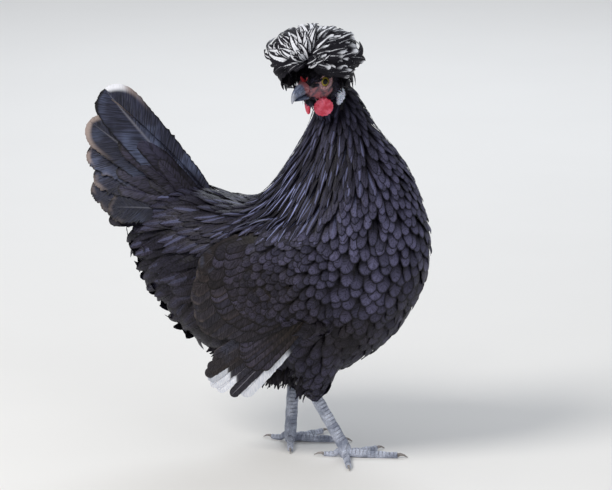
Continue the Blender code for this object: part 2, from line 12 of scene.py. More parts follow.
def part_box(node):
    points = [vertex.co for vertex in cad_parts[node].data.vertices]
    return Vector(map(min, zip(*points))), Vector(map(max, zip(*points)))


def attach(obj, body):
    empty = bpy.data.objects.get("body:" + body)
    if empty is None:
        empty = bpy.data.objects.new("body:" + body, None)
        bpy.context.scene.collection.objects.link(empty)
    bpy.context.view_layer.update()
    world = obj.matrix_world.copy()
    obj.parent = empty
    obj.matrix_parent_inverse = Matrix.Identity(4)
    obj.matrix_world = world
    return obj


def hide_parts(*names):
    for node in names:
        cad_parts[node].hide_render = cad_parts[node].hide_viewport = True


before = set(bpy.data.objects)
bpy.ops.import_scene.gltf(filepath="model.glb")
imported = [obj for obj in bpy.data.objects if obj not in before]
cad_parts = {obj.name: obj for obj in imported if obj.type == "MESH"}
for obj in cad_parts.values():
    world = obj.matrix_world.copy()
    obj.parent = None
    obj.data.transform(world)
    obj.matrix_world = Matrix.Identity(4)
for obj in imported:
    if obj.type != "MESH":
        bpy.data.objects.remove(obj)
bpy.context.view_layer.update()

MM = 0.001

# The studio: a plain pale floor, an even pale sky and three soft lamps. The camera looks from the
# bird's right, 20 degrees forward of its side and 13 degrees down, as in the photo.
CAMERA_AZIMUTH = math.radians(20.0)
CAMERA_ELEVATION = math.radians(13.0)
CAMERA_DISTANCE = 4.5
CAMERA_LENS = 294.1
CAMERA_AIM = Vector((0.0402, 0.0106, 0.1861))
FLOOR_HALF = 6.0
FLOOR_COLOURS = ((0.80, 0.785, 0.76), (0.83, 0.815, 0.79))
SKY_COLOUR = (0.92, 0.95, 1.0, 1.0)
SKY_STRENGTH = 0.45
LAMPS = {
    # name: place, width, power, colour
    "key_lamp": ((-0.9, -1.5, 2.0), 1.1, 42.0, (1.0, 0.98, 0.95)),
    "fill_lamp": ((2.2, -1.4, 1.2), 1.6, 11.0, (0.93, 0.96, 1.0)),
    "back_lamp": ((-0.5, 1.9, 1.7), 1.2, 20.0, (0.86, 0.92, 1.0)),
}

back = Vector(
    (
        math.sin(CAMERA_AZIMUTH) * math.cos(CAMERA_ELEVATION),
        -math.cos(CAMERA_AZIMUTH) * math.cos(CAMERA_ELEVATION),
        math.sin(CAMERA_ELEVATION),
    )
)
camera = bpy.data.objects.new("camera", bpy.data.cameras.new("camera"))
camera.data.lens = CAMERA_LENS
camera.data.clip_start = 0.1
camera.data.clip_end = 30.0
camera.location = CAMERA_AIM + back * CAMERA_DISTANCE
camera.rotation_mode = "QUATERNION"
camera.rotation_quaternion = (-back).to_track_quat("-Z", "Y")
bpy.context.scene.collection.objects.link(camera)
bpy.context.scene.camera = camera

for lamp_name, (place, width, power, colour) in LAMPS.items():
    light = bpy.data.lights.new(lamp_name, "AREA")
    light.shape = "DISK"
    light.size = width
    light.energy = power
    light.color = colour
    lamp = bpy.data.objects.new(lamp_name, light)
    lamp.location = place
    lamp.rotation_euler = (CAMERA_AIM - Vector(place)).to_track_quat("-Z", "Y").to_euler()
    bpy.context.scene.collection.objects.link(lamp)

sky = bpy.data.worlds.new("sky")
sky.use_nodes = True
sky.node_tree.nodes["Background"].inputs["Color"].default_value = SKY_COLOUR
sky.node_tree.nodes["Background"].inputs["Strength"].default_value = SKY_STRENGTH
bpy.context.scene.world = sky
bpy.context.scene.view_settings.view_transform = "Standard"


class Nodes:
    """A node tree under construction: node() adds a node and link() joins two sockets."""

    def __init__(self, tree):
        self.tree = tree

    def node(self, kind, **settings):
        node = self.tree.nodes.new(kind)
        for key, value in settings.items():
            if hasattr(node, key):
                setattr(node, key, value)
            else:
                node.inputs[key].default_value = value
        return node

    def link(self, source, target):
        self.tree.links.new(source, target)

    def mark(self, name):
        """A number that the mesh carries for each point. It reads 0 on a mesh that carries none."""
        return self.node("ShaderNodeAttribute", attribute_name=name).outputs["Fac"]

    def place(self):
        return self.node("ShaderNodeTexCoord").outputs["Object"]

    def ramp(self, value, low, high, reverse=False):
        """0 below low and 1 above high, or the other way round."""
        node = self.node("ShaderNodeMapRange", interpolation_type="SMOOTHSTEP")
        self.link(value, node.inputs["Value"])
        ends = {"From Min": low, "From Max": high, "To Min": float(reverse), "To Max": float(not reverse)}
        for socket, number in ends.items():
            node.inputs[socket].default_value = number
        return node.outputs["Result"]

    def math(self, operation, *values):
        node = self.node("ShaderNodeMath", operation=operation)
        for socket, value in zip(node.inputs, values):
            if isinstance(value, float):
                socket.default_value = value
            else:
                self.link(value, socket)
        return node.outputs[0]

    def times(self, product, *factors):
        for factor in factors:
            product = self.math("MULTIPLY", product, factor)
        return product

    def mix(self, mask, under, over, way="MIX"):
        """under where the mask is 0, over where it is 1. Both are colours or sockets."""
        node = self.node("ShaderNodeMix", data_type="RGBA", blend_type=way)
        for slot, value in ((0, mask), (6, under), (7, over)):
            if isinstance(value, tuple):
                node.inputs[slot].default_value = (*value, 1.0)
            elif isinstance(value, float):
                node.inputs[slot].default_value = value
            else:
                self.link(value, node.inputs[slot])
        return node.outputs[2]

    def noise(self, scale, detail=3.0, roughness=0.55, vector=None):
        node = self.node("ShaderNodeTexNoise", Scale=scale, Detail=detail, Roughness=roughness)
        self.link(self.place() if vector is None else vector, node.inputs["Vector"])
        return node.outputs["Fac"]


class Finish(Nodes):
    """A material under construction. Its constants are set on the shader's own sockets."""

    def __init__(self, name, roughness=0.5, **constants):
        self.material = bpy.data.materials.new(name)
        self.material.use_nodes = True
        super().__init__(self.material.node_tree)
        self.shader = self.tree.nodes["Principled BSDF"]
        self.shader.inputs["Roughness"].default_value = roughness
        for socket, value in constants.items():
            self.shader.inputs[socket.replace("_", " ")].default_value = value

    def colour(self, source):
        self.link(source, self.shader.inputs["Base Color"])

    def bump(self, height, distance):
        node = self.node("ShaderNodeBump", Distance=distance)
        self.link(height, node.inputs["Height"])
        self.link(node.outputs["Normal"], self.shader.inputs["Normal"])


floor_mesh = bpy.data.meshes.new("floor")
corners = [(x * FLOOR_HALF, y * FLOOR_HALF, 0.0) for x, y in ((-1, -1), (1, -1), (1, 1), (-1, 1))]
floor_mesh.from_pydata(corners, [], [(0, 1, 2, 3)])
floor = bpy.data.objects.new("floor", floor_mesh)
bpy.context.scene.collection.objects.link(floor)
floor_finish = look = Finish("pale_floor", 0.9)
look.colour(look.mix(look.noise(5.0), *FLOOR_COLOURS))
floor.data.materials.append(floor_finish.material)

# The skin. One skin covers body, neck, head and thighs, and lies inside the solids by the depth of the
# coat. Under the feathers it is plain and dark; on the face it is bare, with lids, wattles and lobes.
BIRD_X = 52.7  # from the point between the feet to the middle of the frame's box, in mm
BODY_FLESH = ("torso", "neck", "thigh_left", "thigh_right")
WINGS = ("wing_left", "wing_right")
FACE_FLESH = (
    "head", "wattle_left", "wattle_right", "earlobe_left", "earlobe_right", "comb_left", "comb_right",
)
BODY_VOXEL = 3.0
FACE_VOXEL = 0.5
COAT_DEPTH = 8.0
COAT_SHARE = 0.28  # of the local thickness, where the body is thin
WING_REACH = 26.0  # how far over the flank the wing's face is looked for
WING_FROM_X, WING_TO_X = -72.0, 40.0
WING_FROM_Z, WING_TO_Z = 128.0, 224.0
EYE = np.array((4.0, 8.0, -0.2))
WATTLE = np.array((6.0, 8.6, -24.5))
LOBE = np.array((-16.5, 12.6, -19.5))
COMB = np.array((20.0, 3.2, 4.6))
LOBE_SLANT = 0.4
COMB_SINK = 1.5
FOLD_STEP, FOLD_DEPTH = 2.1, 0.3  # rings of folded skin round the eye
CREASE_DEPTH = 0.22
HEAD_TURN, HEAD_NOD = math.radians(-105.0), math.radians(6.0)
HEAD_PLACE = Matrix.Translation((13.0 + BIRD_X, -29.0, 348.0))
HEAD_PLACE = HEAD_PLACE @ Matrix.Rotation(HEAD_TURN, 4, "Z") @ Matrix.Rotation(HEAD_NOD, 4, "Y")
SKIN_DARK = (0.012, 0.011, 0.015)
FACE_PATCHES = ((0.075, 0.055, 0.075), (0.34, 0.12, 0.14))
GAPE_RED = (0.40, 0.10, 0.12)
LID_PATCHES = ((0.22, 0.11, 0.13), (0.56, 0.33, 0.33))
WATTLE_REDS = ((0.60, 0.028, 0.065), (0.84, 0.17, 0.26))
COMB_RED = (0.62, 0.035, 0.045)
LOBE_WHITES = ((0.72, 0.76, 0.86), (0.30, 0.33, 0.46))


def linked(name, mesh):
    obj = bpy.data.objects.new(name, mesh)
    bpy.context.scene.collection.objects.link(obj)
    return obj


def copied(name, nodes, swell):
    """One object holding copies of CAD nodes, each swelled by so many mm to close the gaps between them."""
    bm = bmesh.new()
    for node in nodes:
        bm.from_mesh(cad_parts[node].data)
    bmesh.ops.remove_doubles(bm, verts=bm.verts, dist=0.000002)
    bm.normal_update()
    for vertex in bm.verts:
        vertex.co += vertex.normal * swell * MM
    mesh = bpy.data.meshes.new(name)
    bm.to_mesh(mesh)
    bm.free()
    return linked(name, mesh)


def remeshed(obj, voxel, smoothing, factor=0.5):
    """Replaces the object's mesh by one closed skin with cells of so many mm, smoothed."""
    remesh = obj.modifiers.new("remesh", "REMESH")
    remesh.mode = "VOXEL"
    remesh.voxel_size = voxel * MM
    remesh.use_smooth_shade = True
    smooth = obj.modifiers.new("smooth", "SMOOTH")
    smooth.iterations = smoothing
    smooth.factor = factor
    evaluated = obj.evaluated_get(bpy.context.evaluated_depsgraph_get())
    mesh = bpy.data.meshes.new_from_object(evaluated)
    obj.modifiers.clear()
    obj.data = mesh
    return obj


def points_of(obj):
    """Points and normals of the object's mesh as arrays in mm."""
    count = len(obj.data.vertices)
    points, normals = np.empty(count * 3), np.empty(count * 3)
    obj.data.vertices.foreach_get("co", points)
    obj.data.vertices.foreach_get("normal", normals)
    return points.reshape(-1, 3) / MM, normals.reshape(-1, 3)


def tree_of(meshes):
    """A search tree, in mm, over the faces of several meshes."""
    points, faces = [], []
    for mesh in meshes:
        base = len(points)
        points += [vertex.co / MM for vertex in mesh.vertices]
        faces += [[base + i for i in polygon.vertices] for polygon in mesh.polygons]
    return BVHTree.FromPolygons(points, faces)


def spread(obj, values, rounds):
    """Evens a value out over a mesh by averaging it with its neighbours' so many times."""
    edges = np.empty(len(obj.data.edges) * 2, dtype=np.int64)
    obj.data.edges.foreach_get("vertices", edges)
    edges = edges.reshape(-1, 2)
    count = np.bincount(edges.ravel(), minlength=len(values)).astype(float)
    for _ in range(rounds):
        total = np.bincount(edges[:, 0], values[edges[:, 1]], len(values))
        total += np.bincount(edges[:, 1], values[edges[:, 0]], len(values))
        values = 0.4 * values + 0.6 * total / np.maximum(count, 1)
    return values


def head_space(points):
    """Points, in mm, seen from the head: x towards the beak, y to its left, z to its crown."""
    inverse = np.array(HEAD_PLACE.inverted())
    return points @ inverse[:3, :3].T + inverse[:3, 3]


def mirrored(places):
    """Places on either side of the head, all taken to its left side."""
    return np.stack([places[:, 0], np.abs(places[:, 1]), places[:, 2]], -1)


def stored(obj, name, values):
    """Keeps one number a point on the mesh, for the finishes to read."""
    layer = obj.data.attributes.new(name, "FLOAT", "POINT")
    layer.data.foreach_set("value", np.asarray(values, dtype=np.float32))


def near_ball(places, centre, sizes, soft=0.35):
    """1 inside a ball, falling to 0 over a share of its size outside."""
    reach = np.linalg.norm((places - np.array(centre)) / np.array(sizes), axis=1)
    return np.clip((1.0 + soft - reach) / soft, 0.0, 1.0)


skin = remeshed(copied("skin", BODY_FLESH, 0.6), BODY_VOXEL, 6)
points, normals = points_of(skin)
body_tree = tree_of([skin.data])
wing_tree = tree_of([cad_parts[name].data for name in WINGS])
raised = np.zeros(len(points))
thickness = np.full(len(points), 200.0)
for i, (point, normal) in enumerate(zip(points, normals)):
    point, normal = Vector(point), Vector(normal)
    x = point.x - BIRD_X
    if WING_FROM_X < x < WING_TO_X and WING_FROM_Z < point.z < WING_TO_Z and abs(normal.y) > 0.3:
        hit = wing_tree.ray_cast(point + normal * WING_REACH, -normal, WING_REACH)
        if hit[0] is not None:
            raised[i] = WING_REACH - hit[3]
    hit = body_tree.ray_cast(point - normal * 0.5, -normal)
    if hit[0] is not None:
        thickness[i] = hit[3] + 0.5
raised = spread(skin, raised, 9)
coat_depth = spread(skin, np.minimum(COAT_DEPTH, thickness * COAT_SHARE), 6)
points += normals * (raised - coat_depth)[:, None]
skin.data.vertices.foreach_set("co", (points * MM).ravel())
skin.data.update()
points, normals = points_of(skin)


class Ground:
    """A surface that feathers follow: its search tree, its points and its outward directions, in mm."""

    def __init__(self, obj):
        self.points, self.normals = points_of(obj)
        self.tree = tree_of([obj.data])
        self.lookup = KDTree(len(self.points))
        for i, point in enumerate(self.points):
            self.lookup.insert(point, i)
        self.lookup.balance()

    def outward(self, point):
        """The outward direction near a point, evened over the points round it."""
        total = Vector()
        for _, index, away in self.lookup.find_n(point, 5):
            total += Vector(self.normals[index]) / (away + 0.5)
        return total.normalized()


body_ground = Ground(skin)
body_only = skin.data.copy()

face = remeshed(copied("face", FACE_FLESH, 0.28), FACE_VOXEL, 3)
points, normals = points_of(face)
places = head_space(points)
side_places = mirrored(places)
from_eye = np.linalg.norm((side_places - EYE)[:, (0, 2)], axis=1)
folds = np.sin(from_eye * 2 * math.pi / FOLD_STEP + np.sin(places[:, 0] * 0.9) + np.sin(places[:, 2] * 1.3))
fold_depth = FOLD_DEPTH * np.clip((from_eye - 4.6) / 1.0, 0, 1) * np.clip((15.0 - from_eye) / 5.0, 0, 1)
wattle_place = side_places - WATTLE
from_wattle = np.linalg.norm(wattle_place, axis=1)
crease = np.sin(np.arctan2(wattle_place[:, 0], wattle_place[:, 2]) * 17.0 + np.sin(from_wattle * 1.1) * 1.5)
crease_depth = CREASE_DEPTH * near_ball(side_places, WATTLE, (10.0, 10.0, 9.0), 0.2)
shift = folds * fold_depth * (1 - np.clip(crease_depth / CREASE_DEPTH, 0, 1)) + crease * crease_depth
shift -= COMB_SINK * near_ball(side_places, COMB, (4.5, 4.0, 5.0), 0.4)
lobe_ripple = np.sin(places[:, 2] * 2.6 + np.sin(places[:, 0] * 2.2)) * np.sin(places[:, 0] * 1.9 + 1.0)
shift += 0.5 * lobe_ripple * near_ball(side_places, LOBE, (6.3, 4.4, 9.0), 0.2)
beakward = np.array(HEAD_PLACE)[:3, 0]
slant = LOBE_SLANT * np.clip(LOBE[2] - places[:, 2] + 2.0, 0, None)
points += beakward * (slant * near_ball(side_places, LOBE, (6.5, 4.6, 9.4), 0.15))[:, None]
face.data.vertices.foreach_set("co", ((points + normals * shift[:, None]) * MM).ravel())
face.data.update()
face_ground = Ground(face)
face_only = face.data.copy()
bm = bmesh.new()
bm.from_mesh(skin.data)
bm.from_mesh(face.data)
bm.to_mesh(skin.data)
bm.free()
bpy.data.objects.remove(face)
skin.data.shade_smooth()

for obj in bpy.context.selected_objects:
    obj.select_set(False)
bpy.context.view_layer.objects.active = skin
skin.select_set(True)
skin.data.uv_layers.new(name="OFBake")
bpy.ops.object.mode_set(mode="EDIT")
bpy.ops.mesh.select_all(action="SELECT")
bpy.ops.uv.smart_project(angle_limit=math.radians(66.0), island_margin=0.002)
bpy.ops.object.mode_set(mode="OBJECT")
unwrap = np.empty(len(skin.data.loops) * 2)
skin.data.uv_layers["OFBake"].data.foreach_get("uv", unwrap)
unwrap = unwrap.reshape(-1, 2)
unwrap_tree = tree_of([skin.data])


def bare_parts(places):
    """How bare the head is at each place, and where its lid, wattle, lobe and comb are."""
    sides = mirrored(places)
    parts = {
        "lid": near_ball(sides, EYE + np.array((0.9, 2.9, 0.2)), (7.4, 6.5, 7.6), 0.2),
        "wattle": near_ball(sides, WATTLE, (10.0, 10.0, 9.0), 0.14),
        "lobe": near_ball(sides, LOBE + np.array((1.2, 0, -1.0)), (7.6, 4.6, 9.6), 0.14),
        "comb": near_ball(sides, (21.5, 2.6, 3.0), (2.6, 2.6, 3.0), 0.5),
    }
    lore = near_ball(sides, (14.0, 6.0, -5.0), (9.0, 9.0, 6.5), 0.25)
    gape = near_ball(sides, (13.0, 8.0, -13.5), (3.4, 4.0, 4.0), 1.0) * 0.8
    cheek = near_ball(sides, (3.0, 9.0, -9.5), (6.0, 8.0, 5.0), 0.3) * 0.8
    brow = near_ball(sides, (12.5, 4.5, 8.5), (5.6, 8.0, 8.6), 0.12)
    brow = np.maximum(brow, near_ball(places, (17.8, 5.0, 1.5), (3.4, 4.2, 6.4), 0.15))
    parts["gape"] = gape
    parts["bare"] = np.max([lore, gape, cheek, *parts.values()], axis=0) * (1 - brow)
    parts["comb"] = parts["comb"] * (1 - brow)
    return parts


for part_name, share in bare_parts(head_space(points_of(skin)[0])).items():
    stored(skin, part_name, share)

skin_finish = look = Finish("bird_skin", 0.5, Subsurface_Weight=0.12, Subsurface_Scale=0.002)
fine = look.noise(900.0, 4.0)
coarse = look.noise(160.0, 4.0)
cell = look.node("ShaderNodeTexVoronoi", feature="SMOOTH_F1", Scale=1300.0)
look.link(look.place(), cell.inputs["Vector"])
flesh = look.mix(look.ramp(coarse, 0.40, 0.62), *FACE_PATCHES)
flesh = look.mix(look.mark("gape"), flesh, GAPE_RED)
base = look.mix(look.mark("bare"), SKIN_DARK, flesh)
lid_skin = look.mix(look.ramp(fine, 0.4, 0.62), *LID_PATCHES)
base = look.mix(look.mark("lid"), base, lid_skin)
wattle_red = look.mix(look.ramp(coarse, 0.35, 0.7), *WATTLE_REDS)
base = look.mix(look.mark("wattle"), base, wattle_red)
base = look.mix(look.mark("comb"), base, COMB_RED)
lobe_white = look.mix(look.ramp(fine, 0.42, 0.66), *LOBE_WHITES)
base = look.mix(look.mark("lobe"), base, lobe_white)
look.colour(base)
look.bump(look.math("ADD", fine, cell.outputs["Distance"]), 0.00025)
skin.data.materials.append(skin_finish.material)
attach(skin, "root")
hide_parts(*BODY_FLESH, *FACE_FLESH)

# The body's feathers: some 2,200 contour feathers, each a thin vane rooted in the skin and lying
# backwards over the next. They are round on the breast and narrow and pointed on the neck.
# The guides' painted sheen is a highlight painted into the feathers' colour. It is strongest on the upper
# breast, neck and shoulders, where light falls from above, and weakest low on the body.
GUIDES = (
    # place (x, y, z), lie (x, y, z), length, width, pointedness, brown, painted sheen, spacing
    ((0, 0, 338), (-0.2, 0.0, -1.0), 28, 4.6, 0.7, 0.0, 0.5, 0.27),
    ((36, 0, 338), (0.3, 0.0, -1.0), 15, 4.5, 0.3, 0.0, 0.25, 0.3),
    ((30, 36, 290), (0.0, 0.25, -1.0), 38, 5.0, 0.9, 0.0, 0.5, 0.27),
    ((72, 0, 285), (0.32, 0.0, -0.95), 20, 7.5, 0.2, 0.0, 0.7, 0.34),
    ((-22, 0, 280), (-0.4, 0.0, -0.9), 48, 5.0, 1.0, 0.1, 1.0, 0.26),
    ((5, 45, 255), (-0.35, 0.25, -0.9), 52, 5.2, 1.0, 0.1, 1.0, 0.26),
    ((55, 50, 245), (0.0, 0.2, -1.0), 26, 9.0, 0.3, 0.0, 0.8, 0.36),
    ((104, 0, 225), (0.05, 0.0, -1.0), 22, 11.0, 0.15, 0.0, 1.0, 0.42),
    ((100, 0, 160), (-0.3, 0.0, -0.95), 25, 14.5, 0.1, 0.2, 0.3, 0.42),
    ((75, 60, 190), (-0.25, 0.0, -0.97), 25, 14.0, 0.1, 0.0, 0.9, 0.44),
    ((60, 55, 130), (-0.5, 0.0, -0.85), 26, 13.0, 0.15, 0.6, 0.03, 0.42),
    ((20, 0, 75), (-1.0, 0.0, -0.25), 32, 16.0, 0.2, 0.2, 0.2, 0.33),
    ((0, 65, 110), (-0.6, 0.0, -0.8), 32, 14.0, 0.2, 0.2, 0.3, 0.33),
    ((25, 72, 205), (-0.75, 0.1, -0.6), 19, 8.5, 0.15, 0.1, 0.45, 0.36),
    ((5, 82, 175), (-0.8, 0.0, -0.6), 17, 7.5, 0.1, 0.6, 0.16, 0.38),
    ((-35, 78, 175), (-0.85, 0.0, -0.52), 21, 8.5, 0.2, 0.7, 0.14, 0.38),
    ((-60, 70, 160), (-0.92, 0.0, -0.38), 34, 15.0, 0.1, 0.8, 0.2, 0.33),
    ((-50, 0, 236), (-1.0, 0.0, -0.05), 36, 10.0, 0.7, 0.2, 0.25, 0.3),
    ((-50, 48, 222), (-0.95, 0.1, -0.3), 42, 9.0, 0.8, 0.2, 0.45, 0.28),
    ((-100, 15, 236), (-1.0, 0.05, 0.12), 42, 11.0, 0.7, 0.1, 0.4, 0.3),
    ((-95, 55, 190), (-0.92, 0.0, -0.38), 44, 11.0, 0.7, 0.1, 0.22, 0.3),
    ((-135, 0, 232), (-0.9, 0.0, 0.4), 36, 13.0, 0.5, 0.1, 0.3, 0.33),
    ((-150, 20, 190), (-0.92, 0.0, -0.35), 40, 13.0, 0.6, 0.2, 0.2, 0.33),
    ((-110, 45, 125), (-0.72, 0.0, -0.7), 30, 12.0, 0.6, 0.4, 0.10, 0.33),
    ((-70, 35, 80), (-0.7, 0.0, -0.7), 32, 13.0, 0.5, 0.5, 0.1, 0.33),
    ((12, 50, 100), (-0.3, 0.0, -0.95), 28, 12.0, 0.2, 0.2, 0.35, 0.33),
    ((2, 30, 58), (-0.12, 0.0, -1.0), 14, 8.0, 0.4, 0.1, 0.3, 0.33),
    ((-6, 0, 358), (-0.35, 0.0, -1.0), 14, 3.6, 0.6, 0.1, 0.4, 0.3),
    ((-28, 30, 55), (-0.12, 0.0, -1.0), 14, 8.0, 0.4, 0.1, 0.3, 0.33),
)
GUIDE_REACH = 26.0
COAT_SEED = 7
COAT_STATIONS = 9
COAT_COLUMNS = 2
VANE_THICKNESS = 0.25
PATCH = 0.003  # a feather's size on the unwrap
COAT_ROOTS_TRIED = 40000
COAT_END_Z = 51.0  # over the bare shanks
NECK_FROM_Z = 236.0
REAR_FROM_X = -20.0
WING_FRONT = (37.0, 180.0)
WING_COVER = 66.0  # how far back along the wing the small coverts reach
WING_BACK_X = -84.0
WING_BOTTOM_Z, WING_TOP_Z = 118.0, 197.0
PRIMARIES_FROM_X, PRIMARIES_TO_X, PRIMARIES_TOP_Z = -60.0, 20.0, 150.0
FLANK_Y = 40.0
VIOLET_BLACKS = ((0.006, 0.005, 0.007), (0.019, 0.017, 0.030))  # between the barbs and on them
BROWN_BLACKS = ((0.009, 0.007, 0.006), (0.022, 0.016, 0.013))
# Painted light: a violet highlight on the middle of each feather, bluish-silver glints along the hackles'
# shafts, and shade at each feather's rim.
PAINTED_VIOLET_SHEEN = (0.110, 0.106, 0.182)
HACKLE_PAINTED_GLINT = (0.310, 0.345, 0.600)
RIM_PAINTED_SHADE = (0.003, 0.0028, 0.004)
RIM_SHADE_SHARE = 0.75
BODY_TONES = ((0.65, 0.65, 0.68), (1.42, 1.40, 1.46))
draw = np.random.default_rng(COAT_SEED)
guide_places = np.array([g[0] for g in GUIDES] + [(g[0][0], -g[0][1], g[0][2]) for g in GUIDES], dtype=float)
guide_places[:, 0] += BIRD_X
guide_values = np.array(
    [(*g[1], *g[2:]) for g in GUIDES] + [(g[1][0], -g[1][1], g[1][2], *g[2:]) for g in GUIDES], dtype=float
)
guide_values[:, :3] /= np.linalg.norm(guide_values[:, :3], axis=1)[:, None]


def unit(vectors):
    return vectors / np.maximum(np.linalg.norm(vectors, axis=-1, keepdims=True), 1e-9)


def guided(places):
    """Lie, length, width, pointedness, brown, painted sheen and spacing at each place, blended from the
    guides.
    """
    away = np.linalg.norm(places[:, None, :] - guide_places[None, :, :], axis=2)
    weights = 1.0 / (away**2 + GUIDE_REACH**2 * 0.25) ** 2
    weights /= weights.sum(axis=1, keepdims=True)
    values = weights @ guide_values
    values[:, :3] = unit(values[:, :3])
    return values


def scattered(mesh, spacing_at, wanted, seed):
    """Places on a mesh, no two closer than the spacing there, drawn by area."""
    chooser = np.random.default_rng(seed)
    mesh.calc_loop_triangles()
    count = len(mesh.loop_triangles)
    corners = np.empty(count * 3, dtype=np.int64)
    mesh.loop_triangles.foreach_get("vertices", corners)
    corners = corners.reshape(-1, 3)
    spots = np.empty(len(mesh.vertices) * 3)
    mesh.vertices.foreach_get("co", spots)
    spots = spots.reshape(-1, 3) / MM
    a, b, c = spots[corners[:, 0]], spots[corners[:, 1]], spots[corners[:, 2]]
    areas = np.linalg.norm(np.cross(b - a, c - a), axis=1)
    picks = chooser.choice(count, wanted, p=areas / areas.sum())
    u, v = chooser.random(wanted), chooser.random(wanted)
    flip = u + v > 1
    u[flip], v[flip] = 1 - u[flip], 1 - v[flip]
    places = a[picks] + (b - a)[picks] * u[:, None] + (c - a)[picks] * v[:, None]
    spacings = spacing_at(places)
    cell = float(spacings.max())
    grid, kept = {}, []
    for i, (place, gap) in enumerate(zip(places, spacings)):
        if gap <= 0:
            continue
        key = tuple((place // cell).astype(int))
        around = itertools.product(*((k - 1, k, k + 1) for k in key))
        near = [j for cell_key in around for j in grid.get(cell_key, ())]
        if near and np.min(np.linalg.norm(places[near] - place, axis=1)) < gap:
            continue
        grid.setdefault(key, []).append(i)
        kept.append(i)
    return places[kept]


def marched(ground, roots, ways, lengths, heights, stations, pull=0.15):
    """Shaft points and outward directions of feathers that follow the skin and rise off it.

    heights(share) gives each feather's height over the skin in mm, for a share of its length.
    """
    shares = np.linspace(0.0, 1.0, stations)
    shafts = np.empty((len(roots), stations, 3))
    outs = np.empty_like(shafts)
    rise = heights(shares)
    for n, (root, way, length) in enumerate(zip(roots, ways, lengths)):
        spot, heading = Vector(root), Vector(way)
        for k in range(stations):
            out = ground.outward(spot)
            heading = (heading - out * heading.dot(out)).normalized()
            shafts[n, k] = spot + out * rise[n, k]
            outs[n, k] = out
            ahead = spot + heading * length / (stations - 1)
            spot = ground.tree.find_nearest(ahead)[0]
            spot = ahead.lerp(spot, 1.0 - pull)
    return shafts, outs


def on_unwrap(places):
    """Where each place lies on the skin's unwrap."""
    found = np.empty((len(places), 2))
    for i, place in enumerate(places):
        polygon = skin.data.polygons[unwrap_tree.find_nearest(Vector(place))[2]]
        found[i] = unwrap[list(polygon.loop_indices)].mean(axis=0)
    return found


def outline(shares, pointed, tips):
    """Half width of a vane along its length, as a share of its greatest.

    tips is the share of the length that is rounded at the end.
    """
    taper = 1 - np.exp(-7 * shares - 0.4)
    rounded = np.sqrt(np.clip(1 - np.clip((shares - 1 + tips) / tips, 0, 1) ** 2, 0, 1))
    narrow = 1 - np.clip((shares - 0.25) / 0.75, 0, 1) ** 1.5
    return np.maximum((rounded * (1 - pointed) + rounded * narrow * pointed) * taper, 0.03)


